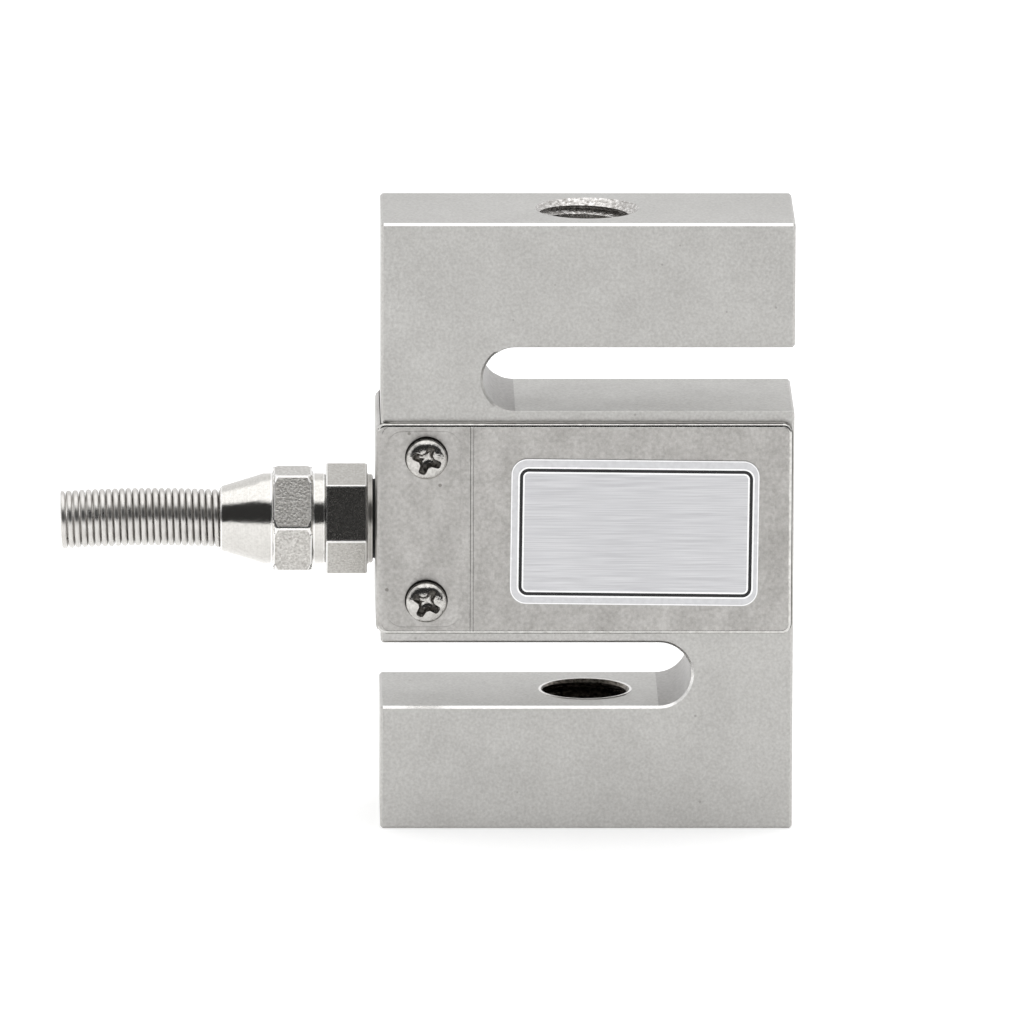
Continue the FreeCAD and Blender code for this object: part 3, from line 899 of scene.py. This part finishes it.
@dataclass
class PressedCover:
    """The pressed cover with rounded rims, a crease beside the screws and a faint panel.

    Args:
        node: The CAD node it stands for.
        rim: How far the outer rim is rounded.
        bend: Outer radius of the bends.
        corner: Reach of the round corners of the outline.
        crease: X of the crease.
        crease_run: Low and high Z of the crease.
        crease_lines: The fine lines on its flanks: from its middle, and half their width.
        crease_depth: Depth of those lines.
        crease_end: From the sheet's edges to the lines' ends.
        bead: Section of the fine step beside the rolled edge, as (outwards, inwards) points.
        bead_inset: From the sheet's edge to that step.
        bead_left: From the sheet's left side to that step.
        mark_under: How far the mark of a screw's head reaches under the head.
        mark_width: How far it reaches beyond the head.
        mark_depth: Depth of that mark.
        panel: Low X, low Z, high X and high Z of the faint panel.
        panel_corner: Corner radius of the panel.
        line_width: Width of the panel's outline.
        line_depth: Depth of the panel's outline.
        slant: Share of Y in the normal of a rounded face, from and to.
        dusty: How deep under the sheet's face the painted shade goes, from and to.
        dust_reach: How far from the crease's middle and from a head's edge the painted shade
            reaches.
        side_share: Share of X in the normal from which the right rim gets painted shade.
        screws: The screws' CAD nodes.
    """

    node: str = "cover"
    rim: float = 0.4
    bend: float = 0.9
    corner: float = 1.35
    crease: float = -14.2
    crease_run: tuple[float, float] = (25.1, 51.1)
    crease_lines: tuple[tuple[float, float], ...] = ((-0.19, 0.03), (0.19, 0.022))
    crease_depth: float = 0.12
    crease_end: float = 0.25
    bead: tuple[tuple[float, float], ...] = ((-0.07, -PROUD), (0.0, 0.03), (0.03, -PROUD))
    bead_inset: float = 0.42
    bead_left: float = 0.75
    mark_under: float = 0.08
    mark_width: float = 0.15
    mark_depth: float = 0.25
    panel: tuple[float, float, float, float] = (-24.7, 25.8, -15.6, 50.4)
    panel_corner: float = 2.0
    line_width: float = 0.07
    line_depth: float = 0.06
    slant: tuple[float, float] = (0.05, 0.995)
    dusty: tuple[float, float] = (0.02, 0.4)
    dust_reach: float = 0.3
    side_share: float = 0.7
    screws: tuple[str, ...] = ("cover_screw_front_upper", "cover_screw_front_lower",
                               "cover_screw_rear_upper", "cover_screw_rear_lower")

    def build(self) -> list[Piece]:
        """Build the cover.

        Returns:
            The pieces made.
        """
        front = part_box(self.node)[0].y / MM
        mesh = copy_of_node(self.node)
        self.fill_crease(mesh, front)
        round_edges(mesh, self.outer_rim(mesh), self.rim, segments=6)
        cover = new_piece("pressed_cover", mesh, PICKLED_STAINLESS,
                          smooth_below=24.0)
        heads = [self.head_mark(screw) for screw in self.screws]
        cut_with(cover, [*self.crease_cutters(front), self.panel_cutter(front),
                         self.bead_cutter(front), *heads])
        self.dress_faces(cover, abs(front))
        shade_smooth(cover, smooth_below=24.0)
        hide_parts(self.node)
        return [cover]

    def dress_faces(self, cover: Piece, face_depth: float) -> None:
        """Give the rounded rim its rolled finish with a painted highlight, and the crease, the
        screws' marks and the right rim painted shade.

        Args:
            cover: The cover.
            face_depth: Distance of its front and rear faces from the middle.
        """
        add_finishes(cover, ROLLED_STAINLESS, CAUGHT_DUST)
        seats = [(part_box(screw)[0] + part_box(screw)[1]) / 2 / MM for screw in self.screws]
        low, high = box_mm(self.screws[0])
        radius = (high.x - low.x) / 2
        nearest, furthest = radius - SLACK, radius + self.dust_reach
        for face in cover.data.polygons:
            spot, normal = face.center / MM, face.normal
            slanted = self.slant[0] < abs(normal.y) < self.slant[1]
            sunk = self.dusty[0] < face_depth - abs(spot.y) < self.dusty[1]
            in_run = spot.y < 0 and self.crease_run[0] < spot.z < self.crease_run[1]
            at_crease = in_run and abs(spot.x - self.crease) < self.dust_reach
            at_head = any(nearest < math.hypot(spot.x - seat.x, spot.z - seat.z) < furthest
                          for seat in seats)
            # Painted shade in the crease lines, round the heads and along the right rim
            if sunk and (at_crease or at_head) or slanted and normal.x > self.side_share:
                face.material_index = 2
            # The rolled rim, with a painted highlight in its lighter tone
            elif slanted and (abs(normal.z) > self.slant[0] or spot.x > 0):
                face.material_index = 1

    def fill_crease(self, mesh: Mesh, front: float) -> None:
        """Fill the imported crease, so that the rim rounds in one run; it is cut again afterwards.

        Args:
            mesh: The cover's mesh.
            front: The cover's front face.
        """
        deepest = front + self.rim / 2
        for vert in mesh.verts:
            in_crease = abs(vert.co.x - self.crease * MM) < NEAR * MM
            if in_crease and vert.co.y < deepest * MM:
                vert.co.y = min(vert.co.y, front * MM)
        join_flat_faces(mesh)

    def crease_cutters(self, front: float) -> list[Mesh]:
        """The two fine lines on the crease's flanks.

        Args:
            front: The cover's front face.

        Returns:
            The cutters' meshes.
        """
        low, high = (corner.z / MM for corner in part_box(self.node))
        across, inwards = Vector((1, 0, 0)), Vector((0, 1, 0))
        cutters = []
        for offset, half in self.crease_lines:
            section = [(-half, -PROUD), (-half, self.crease_depth), (half, self.crease_depth),
                       (half, -PROUD)]
            path = [(Vector((self.crease + offset, front, z)), across, inwards)
                    for z in (low + self.crease_end, high - self.crease_end)]
            cutters.append(swept(section, path))
        return cutters

    def bead_cutter(self, front: float) -> Mesh:
        """The fine step that the rolled edge left along the top, the right side and the bottom.

        Args:
            front: The cover's front face.

        Returns:
            The cutter's mesh.
        """
        low, high = box_mm(self.node)
        left, right = low.x + self.bead_left, high.x - self.bead_inset
        bottom, top = low.z + self.bead_inset, high.z - self.bead_inset
        line = rounded_outline(left, bottom, right, top, self.corner - self.bead_inset, steps=6)
        start = next(index for index, (x, z) in enumerate(line) if x < left + NEAR)
        line = line[start + 1:] + line[:start + 1]
        middle = Vector(((left + right) / 2, 0, (bottom + top) / 2))
        path = []
        for index, (x, z) in enumerate(line):
            before, after = line[max(0, index - 1)], line[min(len(line) - 1, index + 1)]
            along = Vector((after[0] - before[0], 0, after[1] - before[1])).normalized()
            outward = Vector((along.z, 0, -along.x))
            if outward.dot(Vector((x, 0, z)) - middle) < 0:
                outward.negate()
            path.append((Vector((x, front, z)), outward, Vector((0, 1, 0))))
        return swept(list(self.bead), path)

    def head_mark(self, node: str) -> Mesh:
        """The ring that a screw's head bit into the sheet.

        Args:
            node: The screw's CAD node.

        Returns:
            The cutter's mesh.
        """
        low, high = box_mm(node)
        radius = (high.x - low.x) / 2
        inner, outer = radius - self.mark_under, radius + self.mark_width
        section = [(inner, PROUD), (outer, PROUD), (outer, -self.mark_depth),
                   (inner, -self.mark_depth)]
        mesh = ring(section, steps=72)
        bmesh.ops.transform(mesh, matrix=seat_of(node)[1], verts=mesh.verts)
        return mesh

    def outer_rim(self, mesh: Mesh) -> list[Edge]:
        """The edges round the outside of the sheet, without its holes.

        Args:
            mesh: The cover's mesh.

        Returns:
            The edges.
        """
        low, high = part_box(self.node)
        rim = []
        for edge in sharp_edges(mesh, sharper_than=60.0):
            centre = (edge.verts[0].co + edge.verts[1].co) / 2
            to_end = min(centre.z - low.z, high.z - centre.z, high.x - centre.x)
            beyond = math.hypot(max(0.0, low.x + self.bend * MM - centre.x),
                                max(0.0, abs(centre.y) - high.y + self.bend * MM))
            if to_end < self.corner * MM and beyond > (self.bend - self.rim / 2) * MM:
                rim.append(edge)
        return rim

    def panel_cutter(self, front: float) -> Mesh:
        """The shallow ridge that draws the panel's outline.

        Args:
            front: The cover's front face.

        Returns:
            The cutter's mesh.
        """
        left, bottom, right, top = self.panel
        half = self.line_width / 2
        levels = ((-half, -NEAR), (-half, self.line_depth), (half, self.line_depth), (half, -NEAR))
        rings = []
        mesh = bmesh.new()
        for inset, depth in levels:
            line = rounded_outline(left + inset, bottom + inset, right - inset, top - inset,
                                   self.panel_corner - inset, steps=8)
            rings.append([mesh.verts.new((x * MM, (front + depth) * MM, z * MM)) for x, z in line])
        join_rings(mesh, rings, True)
        return mesh


@dataclass
class Gasket:
    """A silicone gasket whose edge swells out from under the cover.

    Args:
        node: The CAD node it stands for.
        swell: How far the top and the bottom edge swell.
        side_swell: How far the right edge swells.
        zone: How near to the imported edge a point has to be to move.
    """

    node: str
    swell: float = 0.16
    side_swell: float = 0.13
    zone: float = 0.2

    def build(self) -> list[Piece]:
        """Build the gasket.

        Returns:
            The pieces made.
        """
        low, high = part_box(self.node)
        mesh = copy_of_node(self.node)
        for vert in mesh.verts:
            if high.z - vert.co.z < self.zone * MM:
                vert.co.z += self.swell * MM
            elif vert.co.z - low.z < self.zone * MM:
                vert.co.z -= self.swell * MM
            if high.x - vert.co.x < self.zone * MM:
                vert.co.x += self.side_swell * MM
        name = self.node.replace("gasket", "swollen_gasket")
        # The gasket's pale tone is partly painted light
        piece = new_piece(name, mesh, CUT_SILICONE)
        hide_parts(self.node)
        return [piece]


@dataclass
class NamePlate:
    """The blank plate: foil rim, black frame line between bright ones, brushed foil field, and a
    painted highlight along its edge.

    Args:
        node: The CAD node that carries the prints.
        size: Width and height of the plate.
        insets: From the plate's left, bottom, right and top edges to the black line.
        plate_corner: Corner radius of the plate.
        edge_line: How far the thin white line along the plate's edge, a painted highlight of its
            rim, lies from it, and its width.
        bright_line: Width of each bright line.
        black_line: Width of the black line.
        corner: Outer corner radius of the black line.
        lean: How far the plate leans clockwise, in degrees.
        line_height: How far the lines stand proud of the plate.
        field_height: How far the brushed field stands proud of it.
        corner_steps: Steps in each round corner.
    """

    node: str = "name_plate"
    size: tuple[float, float] = (30.5, 18.25)
    insets: tuple[float, float, float, float] = (1.05, 1.1, 0.8, 1.2)
    plate_corner: float = 2.0
    edge_line: tuple[float, float] = (0.03, 0.12)
    bright_line: float = 0.2
    black_line: float = 0.4
    corner: float = 1.1
    lean: float = 0.6
    line_height: float = 0.012
    field_height: float = 0.006
    corner_steps: int = 10

    def build(self) -> list[Piece]:
        """Dress the plate and print its lines and field.

        Returns:
            The pieces made.
        """
        dress(self.node, CLEAR_FOIL)
        steps = (-self.bright_line, 0.0, self.black_line, self.black_line + self.bright_line)
        lines = [self.outline(self.insets, self.corner, step) for step in steps]
        # The line along the plate's edge is a painted highlight of its rim
        gap, width = self.edge_line
        edge = [self.outline((0.0, 0.0, 0.0, 0.0), self.plate_corner, step)
                for step in (gap, gap + width)]
        prints = (("plate_outer_bright_line", lines[0:2], self.line_height, ROLLED_FOIL),
                  ("plate_black_line", lines[1:3], self.line_height, BLACK_INK),
                  ("plate_inner_bright_line", lines[2:4], self.line_height, ROLLED_FOIL),
                  ("plate_edge_highlight", edge, self.line_height, ROLLED_FOIL),
                  ("plate_foil_field", lines[3:4], self.field_height, BRUSHED_FOIL))
        return [new_piece(name, self.printed(outlines, height), finish)
                for name, outlines, height, finish in prints]

    def outline(self, insets: tuple[float, float, float, float], corner: float,
                step: float) -> Points:
        """An outline inside the plate's edges, about the plate's middle.

        Args:
            insets: From the plate's left, bottom, right and top edges.
            corner: Corner radius at those insets.
            step: How much further inwards the outline lies.

        Returns:
            The (x, z) points, once round.
        """
        left, bottom, right, top = insets
        wide, tall = self.size[0] / 2, self.size[1] / 2
        return rounded_outline(-wide + left + step, -tall + bottom + step, wide - right - step,
                               tall - top - step, corner - step, self.corner_steps)

    def printed(self, outlines: list, height: float) -> Mesh:
        """A thin layer of print on the plate.

        Args:
            outlines: One outline for a sheet, or an outer and an inner one for a ring.
            height: How far it stands proud of the plate.

        Returns:
            The layer's mesh, leaning as the plate does.
        """
        low, high = box_mm(self.node)
        middle = Vector(((low.x + high.x) / 2, low.y, (low.z + high.z) / 2)) * MM
        lean = Matrix.Rotation(math.radians(self.lean), 4, "Y")
        hollow = len(outlines) == 2
        mesh = bmesh.new()
        levels = [(outlines[0], 0.0), (outlines[0], -height)]
        levels += [(outlines[1], -height), (outlines[1], 0.0)] if hollow else []
        rings = [[mesh.verts.new((x * MM, y * MM, z * MM)) for x, z in line] for line, y in levels]
        join_rings(mesh, rings, hollow)
        if not hollow:
            mesh.faces.new(rings[0])
            mesh.faces.new(rings[1])
        place = Matrix.Translation(middle) @ lean
        bmesh.ops.transform(mesh, matrix=place, verts=mesh.verts)
        return mesh


@dataclass
class CoverScrew:
    """A domed pan head screw with a cross recess.

    Args:
        node: The CAD node it stands for.
        turn: How far the recess is turned clockwise, in degrees.
        dome_edge: Slope of the head's top where it meets the round rim, in degrees.
        flatness: Power of the dome's fall: the higher, the flatter its middle.
        dome_steps: Steps from the head's rim to its middle.
        rim_round: Radius of the round rim.
        rim_steps: Steps round the rim.
        under: Chamfer under the head.
        shank: Radius of the shank.
        tip: Chamfer of the shank's tip.
        span: Width of the recess at the top, from wing to wing.
        wing: Thickness of a wing.
        levels: Levels of the recess: height over the head, share of the span, share of the wing.
        point: From the lowest level down to the recess's point.
        wing_end: Length of the narrowing end of a wing.
        core: Where a wing leaves the recess's core, in halves of its thickness.
        core_flare: How much wider a wing is there.
        level: Share of Z in the normal from which a face is the head's top.
    """

    node: str
    turn: float
    dome_edge: float = 50.0
    flatness: int = 5
    dome_steps: int = 12
    rim_round: float = 0.45
    rim_steps: int = 6
    under: float = 0.08
    shank: float = 1.25
    tip: float = 0.25
    span: float = 3.6
    wing: float = 0.95
    levels: tuple[tuple[float, float, float], ...] = ((0.4, 1.12, 1.05), (-0.5, 0.96, 0.95),
                                                      (-1.25, 0.5, 0.62))
    point: float = 0.3
    wing_end: float = 0.2
    core: float = 1.75
    core_flare: float = 1.12
    level: float = 0.8

    def build(self) -> list[Piece]:
        """Build the screw.

        Returns:
            The pieces made.
        """
        low, high = box_mm(self.node)
        seat, place = seat_of(self.node)
        outside, inside = (low.y, high.y) if seat < 0 else (high.y, low.y)
        head, reach = abs(outside - seat), abs(inside - seat)
        mesh = revolved(self.profile(head, reach, (high.x - low.x) / 2), steps=96)
        name = self.node.replace("cover_screw", "pan_screw")
        screw = new_piece(name, mesh, ZINC_SCREW)
        cut_with(screw, [self.recess(head)])
        # The recess's finish is mottled down to near black, partly painted shade
        add_finishes(screw, WORN_RECESS)
        for face in screw.data.polygons:
            off_axis = math.hypot(face.center.x, face.center.y) / MM
            in_cross = off_axis < self.span / 2 + PROUD and face.center.z > 0
            if in_cross and face.normal.z < self.level:
                face.material_index = 1
        turn = Matrix.Rotation(math.radians(-self.turn), 4, "Z")
        screw.data.transform(place @ turn)
        shade_smooth(screw, smooth_below=35.0)
        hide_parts(self.node)
        return [screw]

    def profile(self, head: float, reach: float, radius: float) -> Points:
        """The screw's profile, standing on its tip with the seat at height 0.

        Args:
            head: Height of the head.
            reach: Length of the shank.
            radius: Radius of the head.

        Returns:
            The (radius, height) points.
        """
        slope = math.radians(self.dome_edge)
        centre = radius - self.rim_round
        edge = centre + self.rim_round * math.sin(slope)
        drop = edge * math.tan(slope) / self.flatness
        foot = head - drop - self.rim_round * math.cos(slope)
        points = [(0, -reach), (self.shank - self.tip, -reach), (self.shank, -reach + self.tip),
                  (self.shank, 0), (radius - self.under, 0), (radius, self.under)]
        for step in range(self.rim_steps + 1):
            angle = (math.pi / 2 - slope) * step / self.rim_steps
            points.append((centre + self.rim_round * math.cos(angle),
                           foot + self.rim_round * math.sin(angle)))
        for step in range(1, self.dome_steps + 1):
            share = 1 - step / self.dome_steps
            points.append((edge * share, head - drop * share ** self.flatness))
        return points

    def recess(self, head: float) -> Mesh:
        """The tapered cross with a wide core that is pressed into the head.

        Args:
            head: Height of the head.

        Returns:
            The cutter's mesh.
        """
        mesh = bmesh.new()
        rings = []
        for height, spread, thick in self.levels:
            reach, half = self.span / 2 * spread, self.wing / 2 * thick
            flare = half * self.core_flare
            quarter = [(reach - self.wing_end, -half), (reach, -half / 2), (reach, half / 2),
                       (reach - self.wing_end, half), (half * self.core, flare),
                       (flare, half * self.core)]
            corners = []
            for c, s in ((1, 0), (0, 1), (-1, 0), (0, -1)):
                corners += [mesh.verts.new(((x * c - y * s) * MM, (x * s + y * c) * MM,
                                            (head + height) * MM)) for x, y in quarter]
            rings.append(corners)
        join_rings(mesh, rings, False)
        mesh.faces.new(rings[0])
        lowest = rings[-1]
        tip = mesh.verts.new((0, 0, (head + self.levels[-1][0] - self.point) * MM))
        for step, corner in enumerate(lowest):
            mesh.faces.new((corner, lowest[(step + 1) % len(lowest)], tip))
        return mesh


@dataclass
class CableGland:
    """The gland's body and its compression nut, with their edges broken and given a painted
    highlight.

    Args:
        edge: How far their edges are rounded.
        sharper_than: How sharp an edge has to be to be rounded, in degrees.
        flat_area: Smallest area of a hexagon's face, in square millimetres.
        upright: Share of X in the normal below which a face belongs to a hexagon.
    """

    edge: float = 0.26
    sharper_than: float = 25.0
    flat_area: float = 4.0
    upright: float = 0.02

    def build(self) -> list[Piece]:
        """Build the gland's turned pieces and dress the rest.

        Returns:
            The pieces made.
        """
        pieces = []
        for node, hexagon in (("gland_body", FORGED_NICKEL), ("compression_nut", BLASTED_NICKEL)):
            mesh = copy_of_node(node)
            # The rounded edges get the near-white finish: a painted highlight, partly burnish
            for face in round_edges(mesh, sharp_edges(mesh, self.sharper_than), self.edge):
                face.material_index = 2
            for face in mesh.faces:
                upright = abs(face.normal.x) < self.upright
                if upright and face.calc_area() > self.flat_area * MM * MM:
                    face.material_index = 1
            piece = new_piece(f"plated_{node}", mesh, BRIGHT_NICKEL,
                              smooth_below=30.0)
            add_finishes(piece, hexagon, BURNISHED_NICKEL)
            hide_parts(node)
            pieces.append(piece)
        dress("gland_washer", NITRILE_RUBBER)
        dress("cable_seal", NITRILE_RUBBER)
        dress("clamp_ring", MOULDED_NYLON)
        return pieces


@dataclass
class WoundSpring:
    """The strain-relief spring as one wound wire.

    Args:
        node: The CAD node it stands for.
        wire: Diameter of the wire.
        pitch: Distance between coils.
        outer: Outside diameter of the free coils.
        coil_steps: Steps in one coil.
        sides: Sides of the wire's section.
        rise: How far the middle of the free coils stands above the gland's axis.
        sag: How far the free end hangs below it.
        fullness: 2 for a round wire, and more for one that winding has flattened.
        ground: How much of the last coil is ground off flat.
        wide_turns: Turns in which the wide coil in the nut narrows to the free ones.
        last_turn: Where round the axis the wire ends, in turns.
    """

    node: str = "strain_relief_spring"
    wire: float = 0.7
    pitch: float = 0.82
    outer: float = 7.15
    coil_steps: int = 48
    sides: int = 20
    rise: float = 0.2
    sag: float = 0.2
    fullness: float = 2.3
    ground: float = 0.36
    wide_turns: float = 1.5
    last_turn: float = 0.75

    def build(self) -> list[Piece]:
        """Wind the spring.

        Returns:
            The pieces made.
        """
        low, high = box_mm(self.node)
        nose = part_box("compression_nut")[0].x / MM
        end = low.x + self.wire / 2 - self.ground
        path = self.path(high.x - self.wire / 2, end, nose, high)
        section = [self.section_point(2 * math.pi * side / self.sides)
                   for side in range(self.sides)]
        mesh = swept(section, path)
        for vert in mesh.verts:
            vert.co.x = max(vert.co.x, low.x * MM)
        spring = new_piece("wound_spring", mesh, DRAWN_WIRE, smooth_below=60.0)
        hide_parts(self.node)
        return [spring]

    def section_point(self, angle: float) -> tuple[float, float]:
        """A point of the wire's section.

        Args:
            angle: Angle round the section, in radians.

        Returns:
            The (across, up) point.
        """
        c, s = math.cos(angle), math.sin(angle)
        power = 2 / self.fullness
        half = self.wire / 2
        return half * math.copysign(abs(c) ** power, c), half * math.copysign(abs(s) ** power, s)

    def path(self, start: float, end: float, nose: float, high: Vector) -> list:
        """The wire's stations, from the wide coil in the nut to the free end.

        Args:
            start: X of the first coil's centre line.
            end: X of the last coil's centre line.
            nose: X of the nut's outer end.
            high: The node's high corner.

        Returns:
            A centre, an across direction and an up direction for each station.
        """
        mean = (self.outer - self.wire) / 2
        wide = high.y - self.wire / 2
        axis = high.z - high.y
        turns = (start - end) / self.pitch
        path = []
        for step in range(int(turns * self.coil_steps) + 1):
            turn = step / self.coil_steps
            x = start - self.pitch * turn
            radius = mean + (wide - mean) * max(0.0, 1 - turn / self.wide_turns)
            lift = self.lift(max(0.0, (nose - x) / (nose - end)))
            angle = 2 * math.pi * (turn - turns + self.last_turn)
            out = Vector((0, -math.sin(angle), -math.cos(angle)))
            centre = Vector((x, 0, axis + lift)) + out * radius
            path.append((centre, out, Vector((1, 0, 0))))
        return path

    def lift(self, share: float) -> float:
        """How far the spring's axis stands above the gland's at a share of its free length."""
        bow = 4 * self.rise
        return (bow + self.sag) * share - (bow + 2 * self.sag) * share * share


@dataclass
class Wiring:
    """What is bonded in the closed gauge pockets."""

    def build(self) -> list[Piece]:
        """Dress the gauges, the board and the wires.

        Returns:
            No new pieces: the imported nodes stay.
        """
        for side in ("front", "rear"):
            dress(f"gauge_carrier_{side}", POLYIMIDE_FILM)
            dress(f"gauge_foil_{side}", ETCHED_CONSTANTAN)
            dress(f"{side}_leads", ENAMELLED_COPPER)
        dress("terminal_board", SOLDER_MASK)
        dress("terminal_pads", TINNED_PAD)
        dress("compensation_resistors", FIRED_CERAMIC)
        return []


def seat_of(node: str) -> tuple[float, Matrix]:
    """Where a cover screw's head sits.

    Args:
        node: The screw's CAD node.

    Returns:
        Y of its seat in millimetres, and the matrix that takes a screw that stands on the origin,
        head up, to its place.
    """
    low, high = box_mm(node)
    front = low.y < -abs(high.y)
    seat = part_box("cover")[0 if front else 1].y / MM
    tilt = Matrix.Rotation(math.radians(90 if front else -90), 4, "X")
    place = Matrix.Translation(Vector(((low.x + high.x) / 2, seat, (low.z + high.z) / 2)) * MM)
    return seat, place @ tilt


def dress(node: str, finish: Finish) -> None:
    """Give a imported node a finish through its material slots."""
    for slot in frame["nodes"][node].material_slots:
        slot.material = finish.material()


# ---------------------------------------------------------------- studio and camera

@dataclass
class Studio:
    """A white table with a white backdrop, a wide overhead softbox and a dark room in front.

    Args:
        floor_half_m: Half the side of the floor.
        paper: The floor paper's colour, as sRGB hex.
        fibres: How many of the paper's fibres lie in a metre.
        fibre_height_m: How high they stand.
        glow: How much brighter the paper looks than its own shading.
        softbox: Strength of the overhead light.
        softbox_edge: Upward share of the direction where it starts and where it is full.
        backdrop: Strength of the backdrop.
        backdrop_edge: Backward share of the direction where it starts and where it is full.
        room: Strength of the dark room.
    """

    floor_half_m: float = 6.0
    paper: str = "F0F0F0"
    fibres: float = 900.0
    fibre_height_m: float = 0.00003
    glow: float = 0.46
    softbox: float = 1.9
    softbox_edge: tuple[float, float] = (0.74, 0.86)
    backdrop: float = 1.2
    backdrop_edge: tuple[float, float] = (-0.45, -0.2)
    room: float = 0.05

    def build(self) -> None:
        """Lay the floor and set the world."""
        self.floor()
        self.world()

    def floor(self) -> None:
        """Lay the paper floor, which keeps the object's shadow."""
        mesh = bmesh.new()
        bmesh.ops.create_grid(mesh, x_segments=8, y_segments=8, size=self.floor_half_m)
        floor = add_object("studio_floor", mesh)
        floor.data.materials.append(self.paper_material())

    def paper_material(self) -> bpy.types.Material:
        """White paper that looks brighter to the camera and in reflections.

        Returns:
            The floor's material.
        """
        material = bpy.data.materials.new("white_studio_paper")
        tree = empty_tree(material)
        place = add_node(tree, "ShaderNodeTexCoord", {}, {}).outputs["Object"]
        fibres = add_node(tree, "ShaderNodeTexNoise", {"Scale": self.fibres, "Detail": 3.0},
                          {"Vector": place})
        bump = add_node(tree, "ShaderNodeBump", {"Distance": self.fibre_height_m},
                        {"Height": fibres.outputs[0]})
        paper = add_node(tree, "ShaderNodeBsdfDiffuse", {"Color": linear_from_hex(self.paper)},
                         {"Normal": bump.outputs[0]})
        glow = add_node(tree, "ShaderNodeMath", {"operation": "MULTIPLY", 1: self.glow},
                        {0: seen_directly(tree)})
        light = add_node(tree, "ShaderNodeEmission", {}, {"Strength": glow.outputs[0]})
        both = add_node(tree, "ShaderNodeAddShader", {}, {0: paper.outputs[0], 1: light.outputs[0]})
        add_node(tree, "ShaderNodeOutputMaterial", {}, {"Surface": both.outputs[0]})
        return material

    def world(self) -> None:
        """A softbox above, white walls behind and beside, and a dark room in front."""
        world = bpy.data.worlds.new("studio")
        bpy.context.scene.world = world
        tree = empty_tree(world)
        direction = add_node(tree, "ShaderNodeTexCoord", {}, {}).outputs["Generated"]
        parts = add_node(tree, "ShaderNodeSeparateXYZ", {}, {0: direction})
        above = self.ramp(tree, parts.outputs[2], *self.softbox_edge)
        around = self.ramp(tree, parts.outputs[1], *self.backdrop_edge)
        walls = add_node(tree, "ShaderNodeMix", {2: self.room, 3: self.backdrop}, {0: around})
        strength = add_node(tree, "ShaderNodeMix", {3: self.softbox},
                            {0: above, 2: walls.outputs[0]})
        sky = add_node(tree, "ShaderNodeBackground", {}, {"Strength": strength.outputs[0]})
        add_node(tree, "ShaderNodeOutputWorld", {}, {"Surface": sky.outputs[0]})

    def ramp(self, tree: Tree, value: Socket, start: float, end: float) -> Socket:
        """Add a smooth step from 0 where a value passes the start to 1 at the end."""
        return add_node(tree, "ShaderNodeMapRange",
                        {"interpolation_type": "SMOOTHSTEP", "From Min": start, "From Max": end},
                        {"Value": value}).outputs[0]


def seen_directly(tree: Tree) -> Socket:
    """1 for rays from the camera, and for reflected and passed-through ones.

    Args:
        tree: The material's node tree.

    Returns:
        The socket.
    """
    path = add_node(tree, "ShaderNodeLightPath", {}, {})
    first = add_node(tree, "ShaderNodeMath", {"operation": "MAXIMUM"},
                     {0: path.outputs["Is Camera Ray"], 1: path.outputs["Is Glossy Ray"]})
    return add_node(tree, "ShaderNodeMath", {"operation": "MAXIMUM"},
                    {0: first.outputs[0], 1: path.outputs["Is Transmission Ray"]}).outputs[0]


@dataclass
class Viewpoint:
    """The camera.

    Args:
        azimuth: Degrees from the front, negative towards the gland.
        elevation: Degrees above the horizon.
        roll: Degrees the picture is turned clockwise.
        distance_m: From the target.
        target_m: What it looks at.
        lens: Focal length.
        sensor: Sensor width.
        clip_m: The nearest and the farthest that it sees.
    """

    azimuth: float = -0.939
    elevation: float = 12.542
    roll: float = 0.203
    distance_m: float = 2.2484
    target_m: tuple[float, float, float] = (-0.00911, 0.0, 0.0379)
    lens: float = 640.29
    sensor: float = 36.0
    clip_m: tuple[float, float] = (0.1, 50.0)

    def build(self) -> None:
        """Set the camera up."""
        around, up_angle = math.radians(self.azimuth), math.radians(self.elevation)
        level = math.cos(up_angle)
        ahead = Vector((-math.sin(around) * level, math.cos(around) * level, -math.sin(up_angle)))
        right = Vector((math.cos(around), math.sin(around), 0))
        facing = Matrix((right, right.cross(ahead), -ahead)).transposed()
        turn = Matrix.Rotation(math.radians(self.roll), 3, "Z")
        data = bpy.data.cameras.new("viewpoint")
        data.lens = self.lens
        data.sensor_width = self.sensor
        data.clip_start, data.clip_end = self.clip_m
        camera = bpy.data.objects.new("viewpoint", data)
        place = Matrix.Translation(Vector(self.target_m) - ahead * self.distance_m)
        camera.matrix_world = place @ (facing @ turn).to_4x4()
        bpy.context.scene.collection.objects.link(camera)
        bpy.context.scene.camera = camera


def main() -> None:
    """Build the load cell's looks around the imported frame."""
    logging.basicConfig(level=logging.INFO, format="%(name)s: %(message)s")
    bpy.context.scene.view_settings.view_transform = "Standard"
    assemblies = [SpringElement(), PressedCover(), Gasket("gasket_front"), Gasket("gasket_rear"),
                  NamePlate(), CableGland(), WoundSpring(), Wiring()]
    turns = {"front_upper": 20.0, "front_lower": 31.0, "rear_upper": 52.0, "rear_lower": 19.0}
    assemblies += [CoverScrew(f"cover_screw_{name}", turn) for name, turn in turns.items()]
    for assembly in assemblies:
        for piece in assembly.build():
            log.info("%s: %d faces", piece.name, len(piece.data.polygons))
    Studio().build()
    Viewpoint().build()


if __name__ == "__main__":
    main()
